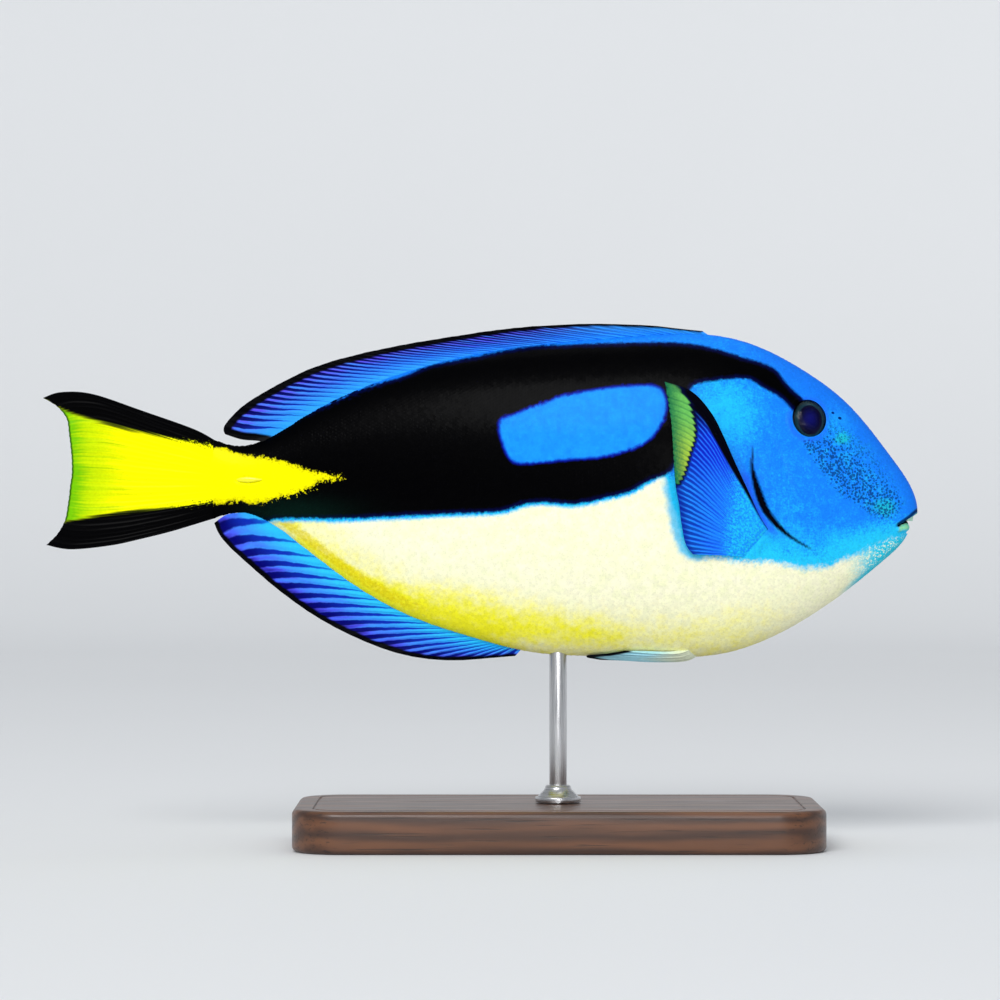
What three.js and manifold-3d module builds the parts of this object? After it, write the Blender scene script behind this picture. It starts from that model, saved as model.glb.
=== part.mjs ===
// Regal blue tang, the yellow-bellied form, as a still, life-size museum model on a plain display stand.
// Millimetres, +Z up. The fish faces +X with its left side towards +Y. The origin is on the surface that
// the stand rests on, under the middle of the fish's length. The fish is the same on both sides.
import * as THREE from "three";
import { mergeVertices } from "three/addons/utils/BufferGeometryUtils.js";
import Module from "manifold-3d";

const wasm = await Module();
wasm.setup();

// Driving dimensions
const TOTAL_LENGTH = 250; // snout to the tips of the tail fin, in a straight line
const AXIS_HEIGHT = 100; // the fish's long axis above the surface that the stand rests on
const GAP = 0.3; // kept between pieces that touch
const FIN_EDGE = 0.5; // a fin's thickness at its free edge
const RAYS = { dorsal: 29, anal: 22, tail: 16, pectoral: 16, pelvic: 4 }; // the species' counts, spines included

// Outlines are in percent of TOTAL_LENGTH: how far a point lies behind the snout, and how high above the axis.
const BACK = [
  [0, -1.95], [1.4, 2.1], [3.7, 5.3], [8.3, 10.75], [12.9, 14.2], [17.4, 16.65], [22, 18.1], [27, 18.45],
  [34, 18.05], [43, 17.25], [51, 16.05], [59, 13.95], [66, 11.25], [70.5, 8.85], [73.8, 6.8], [76.4, 5.75],
  [78.6, 5.75], [81, 6.6],
];
const BELLY = [
  [0, -1.95], [0.5, -3.2], [1.5, -5.1], [3.7, -7.35], [8.3, -11.1], [12.9, -14.25], [17.4, -16.6], [22, -18.1],
  [27, -18.6], [36, -18.45], [44.3, -17.95], [52, -16], [59, -13.45], [65.2, -9.85], [71, -5.45], [74.3, -3.1],
  [76.6, -2.2], [78.8, -2.2], [81, -2.95],
];
const HALF_WIDTH = [
  [0, 0], [0.5, 1.15], [1.4, 1.8], [3.7, 2.7], [8.3, 4.05], [12.9, 5.2], [17.4, 6.1], [22, 6.65], [28, 7],
  [36, 6.9], [44, 6.4], [52, 5.5], [59, 4.45], [65.5, 3.35], [71.5, 2.35], [76, 1.7], [81, 1],
];
const WIDEST = [[0, -1.95], [3.7, -1.4], [12.9, -0.5], [22, 0.5], [32, 1], [60, 1.2], [75, 1.7], [81, 1.75]];
const BODY_END = 80.7;
const SECTION_PINCH = 1.12; // 1 is an ellipse; more makes the back and the belly narrower
const BODY_RINGS = 44;
const BODY_SIDES = 32;

// The free edge of the gill cover, drawn on to the nape and the throat, parts the head from the torso.
const GILL_EDGE = [
  [20.9, 24], [20.6, 17], [20, 11], [19.2, 5.5], [19.3, 3.5], [18.8, 1.3], [17.9, -1.2], [16.9, -2.75],
  [15.4, -4.3], [13.8, -5.4], [12.2, -6.4], [10, -9], [8.9, -13], [8.6, -22],
];
const GILL_COVER_FRONT = [[19.8, 6.6], [17.2, 6.4], [15.6, 3.2], [14.4, -0.8], [12.9, -4], [11, -6.9]];
const GILL_COVER_REST = [[12, -9], [24, -4], [24, 6.6]]; // the rest of its pocket, well past the free edge
const GILL_COVER = { inside: 8.5, proud: 0.4 }; // mm: its inner face off the middle, and how far it stands out
const STEM_CUT = [[74.6, 30], [74.9, 2], [74.7, -30]];

const EYE = { place: [12.75, 8.6], width: 11.2, height: 11.9, depth: 6.6, sunk: 1.75 };
const EYE_RIM = { clear: 0, radius: 0.7, out: 1.5 };
const NOSTRILS = [{ place: [9.85, 9.35], radius: 0.6 }, { place: [9.05, 8.75], radius: 0.75 }];

const MOUTH_GAP = [[-1, -1.4], [0.2, -2.2], [2.5, -3.62], [1.7, -3.75], [1.4, -4.3], [-1, -4.6]];
const JAW_LINE = [[2.2, -3.5], [3.3, -5.2], [4.1, -7.2], [4.7, -10]];
const UPPER_LIP = { front: [0.25, -2], corner: [2.65, -3.3], radius: 0.6 };
const LOWER_LIP = { front: [1.5, -3.85], corner: [2.4, -4], radius: 1.15 };
const TEETH = { front: [0.55, -2.5], count: 8, width: 1.05, height: 1.7, arcRadius: 2.5, arcDegrees: 120 };

// Each fin: where its root runs, its free edge from the first ray's tip to the last, and any bowed outer ray.
const DORSAL_ROOT = [22.3, 73.7];
const DORSAL_EDGE = [
  [24.6, 18.75], [27.2, 19], [31.2, 19.4], [36.3, 19.55], [42, 19.4], [47.7, 18.9], [53.5, 18.05], [59.2, 17.1],
  [64.9, 15.85], [69.5, 14.4], [74, 12.15], [77.1, 10.2], [78.9, 8.4], [79.3, 7.15],
];
const ANAL_ROOT = [44.6, 74.2];
const ANAL_EDGE = [
  [46, -18.4], [49.2, -18.65], [52.7, -18.9], [55.8, -18.75], [59.2, -18.15], [62.6, -17], [66.3, -15.3],
  [69.5, -13.45], [72.9, -11], [75.5, -8.8], [78.6, -6], [80.6, -3.6],
];
const MIDDLE_FIN_SINK = 1; // percent that the dorsal and anal fins' roots lie under the skin
const TAIL_TOP_RAY = [[80.82, 6.5], [82.9, 7.6], [88.7, 9.65], [94.4, 11.55], [98, 11.75], [100, 11.1]];
const TAIL_LOW_RAY = [[80.82, -2.85], [85.1, -4.1], [88.7, -5], [92.2, -5.75], [96.8, -6.2], [99.6, -5.7]];
const TAIL_EDGE = [
  [100, 11.1], [98.4, 10.1], [97.3, 8.7], [97, 6.8], [96.75, 4.6], [96.7, 2.6], [96.9, 1.1], [97.1, -0.6],
  [97.5, -2.9], [98.4, -4.5], [99.6, -5.7],
];
const PECTORAL_ROOT = [[17.5, -4], [19.9, -6.9]];
const PECTORAL_TOP_RAY = [
  [17.5, -4], [18.6, -2.2], [19.7, 0.2], [21.4, 3.8], [22.7, 6.65], [24.1, 9.25], [26.3, 11.6], [29.3, 12.65],
];
const PECTORAL_EDGE = [
  [29.3, 12.65], [28.95, 10.6], [28.55, 8.2], [28.35, 5.8], [28.2, 3.4], [28, 1], [27.6, -1.2], [27.3, -3.4],
  [26.8, -5.6], [26, -6.7],
];
const PECTORAL_SPREAD = 0.2; // outward for each unit of length
const PECTORAL_SHOULDER = { sink: 1.1, rise: 1.6, over: 2.2 }; // mm: its root bends out of the flank
// The folded pelvic fin lies on the skin: percent behind the snout, then degrees up from the keel.
const PELVIC_ROOT = [[25.3, 5], [26.3, 17]];
const PELVIC_EDGE = [[34.6, 5], [36.4, 7], [37.9, 10.5], [36, 14.5], [33.6, 18.5]];
const PELVIC_SHOULDER = { sink: 0.8, rise: 1.7, over: 2 };

const TAIL_SPINE = { place: [76.3, 1.75], length: 7.5, height: 1.7, proud: 0.55 };

const ROD = { place: 41.1, radius: 2.5, intoBody: 9, intoStand: 7 }; // between the anal and the pelvic fins
const PLATE = { length: 150, depth: 72, thickness: 12, corner: 14, bevel: 1.6 };
const COLLAR = { radius: 6.5, height: 5 };

const FINISH = {
  blueSkin: { color: 0x1583f0, roughness: 0.35 },
  blackSkin: { color: 0x07080f, roughness: 0.35 },
  yellowSkin: { color: 0xfdf003, roughness: 0.4 },
  blueFin: { color: 0x2f7df2, roughness: 0.45 },
  paleFin: { color: 0xa9d8e6, roughness: 0.45 },
  spine: { color: 0xe8dc5a, roughness: 0.3 },
  eye: { color: 0x080a20, roughness: 0.05 },
  tooth: { color: 0xe9e4cf, roughness: 0.3 },
  wood: { color: 0x4a2f1d, roughness: 0.5 },
  steel: { color: 0xb9bcc0, roughness: 0.25, metalness: 1 },
};

// From percent to millimetres and back
const mm = (percent) => (percent * TOTAL_LENGTH) / 100;
const xOf = (behind) => TOTAL_LENGTH / 2 - mm(behind);
const sideView = ([behind, up]) => new THREE.Vector2(xOf(behind), mm(up));
const percentOf = (point) => [50 - (100 * point.x) / TOTAL_LENGTH, (100 * point.y) / TOTAL_LENGTH];
const curve = (points) => new THREE.SplineCurve(points.map(sideView));

// A natural cubic spline through points that are set against the square root of their distance
// behind the snout, which gives the snout its round end.
function outline(points) {
  const q = points.map(([behind]) => Math.sqrt(behind));
  const value = points.map((point) => point[1]);
  const last = q.length - 1;
  const bend = new Array(q.length).fill(0);
  const carry = new Array(q.length).fill(0);
  for (let i = 1; i < last; i++) {
    const share = (q[i] - q[i - 1]) / (q[i + 1] - q[i - 1]);
    const pivot = share * bend[i - 1] + 2;
    const slopeBefore = (value[i] - value[i - 1]) / (q[i] - q[i - 1]);
    const turn = (value[i + 1] - value[i]) / (q[i + 1] - q[i]) - slopeBefore;
    bend[i] = (share - 1) / pivot;
    carry[i] = ((6 * turn) / (q[i + 1] - q[i - 1]) - share * carry[i - 1]) / pivot;
  }
  for (let i = last - 1; i > 0; i--) bend[i] = bend[i] * bend[i + 1] + carry[i];
  bend[0] = 0;
  return (behind) => {
    const at = Math.sqrt(Math.max(behind, 0));
    let i = 0;
    while (i < last - 1 && at > q[i + 1]) i++;
    const span = q[i + 1] - q[i];
    const a = (q[i + 1] - at) / span;
    const b = 1 - a;
    const sag = ((a ** 3 - a) * bend[i] + (b ** 3 - b) * bend[i + 1]) * (span ** 2 / 6);
    return a * value[i] + b * value[i + 1] + sag;
  };
}

// The skin
const back = outline(BACK);
const belly = outline(BELLY);
const halfWidth = outline(HALF_WIDTH);
const widest = outline(WIDEST);

// A point of the skin, at an angle round the body from the middle of the back towards the left side.
function skin(behind, angle, grow = 0) {
  const middle = mm(widest(behind));
  const reach = Math.cos(angle) > 0 ? mm(back(behind)) - middle : middle - mm(belly(behind));
  const side = Math.sin(angle);
  const out = (mm(halfWidth(behind)) + grow) * Math.sign(side) * Math.abs(side) ** SECTION_PINCH;
  return new THREE.Vector3(xOf(behind), out, middle + (reach + grow) * Math.cos(angle));
}

// How far the left flank lies off the middle plane at a place in the side view.
function flank(behind, up) {
  const limit = up > widest(behind) ? back(behind) : belly(behind);
  const share = Math.min(1, Math.abs((up - widest(behind)) / (limit - widest(behind))));
  return mm(halfWidth(behind)) * Math.sqrt(1 - share ** 2) ** SECTION_PINCH;
}

function flankPoint([behind, up]) {
  return new THREE.Vector3(xOf(behind), flank(behind, up), mm(up));
}

// The outward direction of the left flank at a place in the side view.
function flankNormal([behind, up]) {
  const step = 0.2;
  const along = (flank(behind + step, up) - flank(behind - step, up)) / mm(2 * step);
  const rise = (flank(behind, up + step) - flank(behind, up - step)) / mm(2 * step);
  return new THREE.Vector3(along, 1, -rise).normalize();
}

// Solids and cuts
function solidOf(geometry) {
  const bare = geometry.clone();
  bare.deleteAttribute("normal");
  bare.deleteAttribute("uv");
  const merged = mergeVertices(bare, 1e-4);
  return new wasm.Manifold(
    new wasm.Mesh({
      numProp: 3,
      vertProperties: new Float32Array(merged.attributes.position.array),
      triVerts: new Uint32Array(merged.index.array),
    }),
  );
}

function solidFrom(corners, triangles) {
  return solidOf(new THREE.BufferGeometry().setFromPoints(corners).setIndex(triangles));
}

const mirrored = (solid) => solid.mirror([0, 1, 0]);
const onBothSides = (solid) => solid.add(mirrored(solid));
const foremost = (solid) => solid.boundingBox().max[0];
const frontToBack = (solid) => solid.decompose().sort((a, b) => foremost(b) - foremost(a));
const bySize = (solid) => solid.decompose().sort((a, b) => b.volume() - a.volume());

// A side-view outline in mm, carried across from one distance off the middle plane to another.
function prism(points, from, to) {
  const shape = new THREE.Shape(points);
  const geometry = new THREE.ExtrudeGeometry(shape, { depth: to - from, bevelEnabled: false });
  return solidOf(geometry.rotateX(Math.PI / 2).translate(0, to, 0));
}

const WHOLE_WIDTH = TOTAL_LENGTH / 4; // off the middle plane, past anything on the fish
const through = (points) => prism(points, -WHOLE_WIDTH, WHOLE_WIDTH);

// A thin curtain along a side-view line, for cutting pieces apart.
function curtain(line, thickness = GAP) {
  const edge = (side) =>
    line.map((point, i) => {
      const along = line[Math.min(i + 1, line.length - 1)].clone().sub(line[Math.max(i - 1, 0)]).normalize();
      return new THREE.Vector2(-along.y, along.x).multiplyScalar((side * thickness) / 2).add(point);
    });
  return through([...edge(1), ...edge(-1).reverse()]);
}

function ellipsoid(centre, [x, y, z], sides, turn = new THREE.Quaternion()) {
  const geometry = new THREE.SphereGeometry(1, sides, Math.round(sides * 0.6)).scale(x, y, z);
  return solidOf(geometry.applyQuaternion(turn).translate(centre.x, centre.y, centre.z));
}

// A round bar along a line in space, with round ends.
function bar(points, radius, sides = 8) {
  const circle = new THREE.Shape().absarc(0, 0, radius, 0, 2 * Math.PI);
  const extrudePath = new THREE.CatmullRomCurve3(points);
  const steps = 2 * (points.length - 1);
  const options = { steps, curveSegments: sides, extrudePath, bevelEnabled: false };
  const run = solidOf(new THREE.ExtrudeGeometry(circle, options));
  const ends = [points[0], points.at(-1)].map((end) => ellipsoid(end, [radius, radius, radius], sides));
  return wasm.Manifold.union([run, ...ends]);
}

// The body without fins, as rings from the snout to the root of the tail fin.
function body(grow = 0) {
  const corners = [new THREE.Vector3(xOf(0) + grow, 0, mm(back(0)))];
  for (let i = 1; i <= BODY_RINGS; i++) {
    const behind = BODY_END * (i / BODY_RINGS) ** 1.6;
    for (let j = 0; j < BODY_SIDES; j++) corners.push(skin(behind, (2 * Math.PI * j) / BODY_SIDES, grow));
  }
  corners.push(new THREE.Vector3(xOf(BODY_END), 0, mm(widest(BODY_END))));
  const triangles = [];
  const at = (ring, j) => 1 + (ring - 1) * BODY_SIDES + (j % BODY_SIDES);
  for (let j = 0; j < BODY_SIDES; j++) {
    triangles.push(0, at(1, j + 1), at(1, j));
    for (let i = 1; i < BODY_RINGS; i++) {
      triangles.push(at(i, j), at(i, j + 1), at(i + 1, j + 1), at(i, j), at(i + 1, j + 1), at(i + 1, j));
    }
    triangles.push(corners.length - 1, at(BODY_RINGS, j), at(BODY_RINGS, j + 1));
  }
  return solidFrom(corners, triangles);
}

// Cuts the body into the block of the head, the torso and the stem of the tail.
function partedBody(grow = 0) {
  const [head, rest] = frontToBack(body(grow).subtract(curtain(curve(GILL_EDGE).getPoints(26))));
  const [torso, stem] = frontToBack(rest.subtract(curtain(STEM_CUT.map(sideView))));
  return { head, torso, stem };
}

// Head: eyes
const eyeLook = flankNormal(EYE.place).lerp(new THREE.Vector3(0, 1, 0), 0.25).normalize();
const eyeTurn = new THREE.Quaternion().setFromUnitVectors(new THREE.Vector3(0, 1, 0), eyeLook);
const eyeCentre = flankPoint(EYE.place).addScaledVector(eyeLook, -EYE.sunk);

function eye(grow = 0) {
  const radii = [EYE.width, EYE.depth, EYE.height].map((size) => size / 2 + grow);
  return ellipsoid(eyeCentre, radii, 20, eyeTurn);
}

function eyeRim() {
  const ring = new THREE.TorusGeometry(EYE.width / 2 + EYE_RIM.clear, EYE_RIM.radius, 6, 24);
  const seat = eyeCentre.clone().addScaledVector(eyeLook, EYE_RIM.out);
  ring.rotateX(Math.PI / 2).scale(1, 1, EYE.height / EYE.width).applyQuaternion(eyeTurn);
  return solidOf(ring.translate(seat.x, seat.y, seat.z));
}

// Head: nostrils, lips and teeth
function nostril({ place, radius }) {
  return ellipsoid(flankPoint(place), [radius, radius * 1.4, radius * 0.8], 8);
}

// A lip follows the skin from one corner of the mouth round the front of the jaw to the other.
function lip({ front, corner, radius }) {
  const half = [0, 0.18, 0.45, 0.75, 1].map((share) => {
    const behind = THREE.MathUtils.lerp(front[0], corner[0], share);
    const up = THREE.MathUtils.lerp(front[1], corner[1], share);
    return flankPoint([behind, up]).setY(share === 0 ? 0 : flank(behind, up));
  });
  const otherHalf = half.slice(1).reverse().map((point) => point.clone().setY(-point.y));
  return bar([...otherHalf, ...half], radius);
}

// Close-set teeth along the front of the upper jaw, widest in the middle.
function teeth() {
  const { front, count, width, height, arcRadius, arcDegrees } = TEETH;
  const row = [];
  for (let i = 0; i < count; i++) {
    const share = i / (count - 1) - 0.5;
    const turn = THREE.MathUtils.degToRad(arcDegrees * share);
    const back = arcRadius * (1 - Math.cos(turn));
    const centre = new THREE.Vector3(xOf(front[0]) - back, arcRadius * Math.sin(turn) * 1.1, mm(front[1]));
    const half = (width / 2) * (1.1 - 0.4 * Math.abs(share));
    row.push(ellipsoid(centre, [half, half, height / 2], 8));
  }
  return wasm.Manifold.union(row);
}

function headPieces() {
  const coverFront = curve(GILL_COVER_FRONT).getPoints(12);
  const pocketOutline = [...coverFront, ...GILL_COVER_REST.map(sideView)];
  const pocket = prism(pocketOutline, GILL_COVER.inside, WHOLE_WIDTH);
  const outer = prism(pocketOutline, GILL_COVER.inside + GAP, WHOLE_WIDTH);
  const room = outer.subtract(curtain(coverFront, 2 * GAP));
  const [gillCover] = bySize(partedBody(GILL_COVER.proud).head.intersect(room));

  const openMouthed = partedBody().head.subtract(through(MOUTH_GAP.map(sideView)));
  const upperTeeth = teeth().subtract(openMouthed);
  const added = wasm.Manifold.union([openMouthed, lip(UPPER_LIP), lip(LOWER_LIP), onBothSides(eyeRim())]);
  const hollows = wasm.Manifold.union([pocket, eye(GAP), ...NOSTRILS.map(nostril)]);
  const jawCut = curtain(JAW_LINE.map(sideView));
  const [head, lowerJaw] = bySize(added.subtract(onBothSides(hollows)).subtract(jawCut));
  return { head, lowerJaw, upperTeeth: bySize(upperTeeth)[0], gillCover };
}

// Fins
// A fin is one closed sheet. Its columns run from the root to the free edge, one along the crest of each ray
// and one along the membrane between two rays, so that each ray is a low ridge on both faces.
function fin({ rays, root, edge, firstRay, lastRay, thickness, ridge, rows = 6, place }) {
  const columns = 2 * rays - 1;
  const bow = (ray, share) => {
    if (!ray) return new THREE.Vector2();
    return ray.getPointAt(share).sub(ray.getPointAt(0).lerp(ray.getPointAt(1), share));
  };
  const faces = [[], []];
  for (let i = 0; i < columns; i++) {
    const across = i / (columns - 1);
    const onRay = i % 2 === 0;
    for (let j = 0; j <= rows; j++) {
      const out = j / rows;
      const point = root(across).lerp(edge(across), out);
      point.addScaledVector(bow(firstRay, out), (1 - across) ** 2);
      point.addScaledVector(bow(lastRay, out), across ** 2);
      const half = thickness(across, out) / 2 + (onRay ? ridge * (1 - 0.6 * out) : 0);
      faces[0].push(place(point.x, point.y, half, across));
      faces[1].push(place(point.x, point.y, -half, across));
    }
  }
  const at = (face, i, j) => face * faces[0].length + i * (rows + 1) + j;
  const triangles = [];
  const quad = (a, b, c, d) => triangles.push(a, b, c, a, c, d);
  const quadFromBehind = (a, b, c, d) => triangles.push(a, c, b, a, d, c);
  for (let i = 0; i < columns - 1; i++) {
    for (let j = 0; j < rows; j++) {
      quad(at(0, i, j), at(0, i + 1, j), at(0, i + 1, j + 1), at(0, i, j + 1));
      quadFromBehind(at(1, i, j), at(1, i + 1, j), at(1, i + 1, j + 1), at(1, i, j + 1));
    }
    quad(at(1, i, 0), at(1, i + 1, 0), at(0, i + 1, 0), at(0, i, 0));
    quad(at(0, i, rows), at(0, i + 1, rows), at(1, i + 1, rows), at(1, i, rows));
  }
  for (let j = 0; j < rows; j++) {
    quad(at(0, 0, j), at(0, 0, j + 1), at(1, 0, j + 1), at(1, 0, j));
    quad(at(1, columns - 1, j), at(1, columns - 1, j + 1), at(0, columns - 1, j + 1), at(0, columns - 1, j));
  }
  // A fin that grows downwards comes out with its faces inwards, and is turned.
  const sheet = solidFrom(faces.flat(), triangles);
  return sheet.volume() > 0 ? sheet : solidFrom(faces.flat(), triangles.reverse());
}

const inMiddlePlane = (x, z, off) => new THREE.Vector3(x, off, z);

// Thick where the rays' muscles are, at the root, and thin beyond a third of the way out.
const tapered = (rootThickness, bladeThickness) => (across, out) => {
  const fleshy = Math.max(0, 1 - out * 2.6) ** 2;
  return THREE.MathUtils.lerp(bladeThickness, FIN_EDGE, out) + (rootThickness - bladeThickness) * fleshy;
};

// How far a paired fin's middle lies off the skin, this far from its root: under it at first, then clear of it.
const shoulder = ({ sink, rise, over }, away) => rise * (1 - Math.exp(-away / over)) - sink;

function dorsalFin() {
  const free = curve(DORSAL_EDGE);
  const [front, rear] = DORSAL_ROOT;
  return fin({
    rays: RAYS.dorsal,
    root: (across) => {
      const behind = THREE.MathUtils.lerp(front, rear, across);
      return sideView([behind, back(behind) - MIDDLE_FIN_SINK]);
    },
    edge: (across) => free.getPointAt(across),
    thickness: tapered(3.4, 1),
    ridge: 0.3,
    place: inMiddlePlane,
  });
}

function analFin() {
  const free = curve(ANAL_EDGE);
  const [front, rear] = ANAL_ROOT;
  return fin({
    rays: RAYS.anal,
    root: (across) => {
      const behind = THREE.MathUtils.lerp(front, rear, across);
      return sideView([behind, belly(behind) + MIDDLE_FIN_SINK]);
    },
    edge: (across) => free.getPointAt(across ** 0.88),
    thickness: tapered(3.4, 1),
    ridge: 0.3,
    place: inMiddlePlane,
  });
}

// The tail fin starts as thick as the stem of the tail and as high, and thins to a blade.
function tailFin() {
  const free = curve(TAIL_EDGE);
  const [top, low] = [curve(TAIL_TOP_RAY), curve(TAIL_LOW_RAY)];
  const stemWidth = mm(2 * halfWidth(BODY_END));
  const blade = 1.1;
  return fin({
    rays: RAYS.tail,
    root: (across) => top.getPointAt(0).lerp(low.getPointAt(0), across),
    edge: (across) => free.getPointAt(across),
    firstRay: top,
    lastRay: low,
    thickness: (across, out) => {
      const round = Math.sin(Math.PI * THREE.MathUtils.clamp(across, 0.06, 0.94)) ** 0.6;
      const fleshy = Math.max(0, 1 - out * 2.2) ** 2;
      return THREE.MathUtils.lerp(blade, FIN_EDGE, out) + fleshy * Math.max(0, stemWidth * round - blade);
    },
    ridge: 0.28,
    rows: 8,
    place: inMiddlePlane,
  });
}

// The left pectoral fin. It leaves the flank behind the gill cover and is spread up, back and outwards.
function pectoralFin() {
  const free = curve(PECTORAL_EDGE);
  const [rootTop, rootLow] = PECTORAL_ROOT.map(sideView);
  return fin({
    rays: RAYS.pectoral,
    root: (across) => rootTop.clone().lerp(rootLow, across),
    edge: (across) => free.getPointAt(across),
    firstRay: curve(PECTORAL_TOP_RAY),
    thickness: tapered(3, 0.9),
    ridge: 0.25,
    rows: 7,
    place: (x, z, off, across) => {
      const start = rootTop.clone().lerp(rootLow, across);
      const away = start.distanceTo(new THREE.Vector2(x, z));
      const out = flank(...percentOf(start)) + shoulder(PECTORAL_SHOULDER, away) + away * PECTORAL_SPREAD;
      return new THREE.Vector3(x, out + off, z);
    },
  });
}

// The left pelvic fin, folded back along the belly beside the keel.
function pelvicFin() {
  const onSkin = ([behind, degreesUp]) => new THREE.Vector2(behind, degreesUp);
  const free = new THREE.SplineCurve(PELVIC_EDGE.map(onSkin));
  const [keel, outer] = PELVIC_ROOT.map(onSkin);
  return fin({
    rays: RAYS.pelvic,
    root: (across) => keel.clone().lerp(outer, across),
    edge: (across) => free.getPointAt(across),
    thickness: tapered(1.6, 0.9),
    ridge: 0.25,
    place: (behind, degreesUp, off) => {
      const angle = Math.PI - THREE.MathUtils.degToRad(degreesUp);
      const round = skin(behind, angle - 0.02).sub(skin(behind, angle + 0.02));
      const along = skin(behind - 0.2, angle).sub(skin(behind + 0.2, angle));
      const rootBehind = THREE.MathUtils.mapLinear(degreesUp, keel.y, outer.y, keel.x, outer.x);
      const lift = shoulder(PELVIC_SHOULDER, mm(behind - rootBehind)) + off;
      return skin(behind, angle).addScaledVector(round.cross(along).normalize(), lift);
    },
  });
}

// The folded spine on the left of the tail's stem, a lens that lies in its own groove.
function tailSpine(grow = 0) {
  const { place, length, height, proud } = TAIL_SPINE;
  const turn = new THREE.Quaternion().setFromUnitVectors(new THREE.Vector3(0, 1, 0), flankNormal(place));
  return ellipsoid(flankPoint(place), [length / 2 + grow, proud + grow, height / 2 + grow], 10, turn);
}

// Stand, whose surface of rest is AXIS_HEIGHT below the fish's axis
function rod(grow = 0) {
  const top = mm(belly(ROD.place)) + ROD.intoBody + grow;
  const foot = PLATE.thickness - ROD.intoStand - AXIS_HEIGHT - grow;
  const geometry = new THREE.CylinderGeometry(ROD.radius + grow, ROD.radius + grow, top - foot, 20);
  return solidOf(geometry.rotateX(Math.PI / 2).translate(xOf(ROD.place), 0, (top + foot) / 2));
}

function standBase() {
  const { length, depth, thickness, corner, bevel } = PLATE;
  const [x, y] = [length / 2 - corner, depth / 2 - corner];
  const plan = new THREE.Shape();
  plan.absarc(x, y, corner - bevel, 0, Math.PI / 2);
  plan.absarc(-x, y, corner - bevel, Math.PI / 2, Math.PI);
  plan.absarc(-x, -y, corner - bevel, Math.PI, 1.5 * Math.PI);
  plan.absarc(x, -y, corner - bevel, 1.5 * Math.PI, 2 * Math.PI);
  const geometry = new THREE.ExtrudeGeometry(plan, {
    depth: thickness - 2 * bevel,
    bevelThickness: bevel,
    bevelSize: bevel,
    bevelSegments: 2,
    curveSegments: 6,
  });
  return solidOf(geometry.translate(xOf(ROD.place), 0, bevel - AXIS_HEIGHT)).subtract(rod(GAP));
}

// A turned ferrule round the rod's foot.
function standCollar() {
  const { radius, height } = COLLAR;
  const bore = ROD.radius + GAP;
  const profile = [
    [bore, 0], [radius, 0], [radius, 0.3 * height], [0.82 * radius, 0.5 * height],
    [0.62 * radius, 0.85 * height], [0.5 * radius, height], [bore, height], [bore, 0],
  ].map(([out, up]) => new THREE.Vector2(out, up));
  const geometry = new THREE.LatheGeometry(profile, 24).rotateX(Math.PI / 2);
  return solidOf(geometry.translate(xOf(ROD.place), 0, PLATE.thickness + GAP - AXIS_HEIGHT));
}

// Scene graph
function meshFrom(name, solid, finish) {
  const { numProp, vertProperties, triVerts } = solid.getMesh();
  const geometry = new THREE.BufferGeometry();
  const stride = new THREE.InterleavedBuffer(vertProperties, numProp);
  geometry.setAttribute("position", new THREE.InterleavedBufferAttribute(stride, 3, 0));
  geometry.setIndex(new THREE.BufferAttribute(triVerts, 1));
  const mesh = new THREE.Mesh(geometry, new THREE.MeshStandardMaterial(FINISH[finish]));
  mesh.name = name;
  return mesh;
}

function pairOf(name, left, finish) {
  return [meshFrom(`${name}_left`, left, finish), meshFrom(`${name}_right`, mirrored(left), finish)];
}

const { torso, stem } = partedBody();
const { head, lowerJaw, upperTeeth, gillCover } = headPieces();
const roomForBody = body(GAP);
const fitted = (finSheet) => bySize(finSheet.subtract(roomForBody))[0];

const fish = new THREE.Group();
fish.add(meshFrom("head", head, "blueSkin"));
fish.add(meshFrom("lower_jaw", lowerJaw, "blueSkin"));
fish.add(meshFrom("upper_teeth", upperTeeth, "tooth"));
fish.add(...pairOf("gill_cover", gillCover, "blueSkin"));
fish.add(...pairOf("eye", eye(), "eye"));
fish.add(meshFrom("torso", torso.subtract(rod(GAP)), "blackSkin"));
fish.add(meshFrom("tail_stem", stem.subtract(onBothSides(tailSpine(GAP))), "yellowSkin"));
fish.add(...pairOf("tail_spine", tailSpine(), "spine"));
fish.add(meshFrom("dorsal_fin", fitted(dorsalFin()), "blueFin"));
fish.add(meshFrom("anal_fin", fitted(analFin()), "blueFin"));
fish.add(meshFrom("tail_fin", tailFin(), "yellowSkin"));
fish.add(...pairOf("pectoral_fin", fitted(pectoralFin()), "blueFin"));
fish.add(...pairOf("pelvic_fin", fitted(pelvicFin()), "paleFin"));

const stand = new THREE.Group();
stand.add(meshFrom("stand_base", standBase(), "wood"));
stand.add(meshFrom("stand_collar", standCollar(), "steel"));
stand.add(meshFrom("stand_rod", rod(), "steel"));

const model = new THREE.Group();
model.add(fish, stand);
model.position.z = AXIS_HEIGHT;
export default model;
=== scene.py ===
import math

import bpy
import numpy as np
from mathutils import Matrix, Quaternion, Vector


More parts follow.
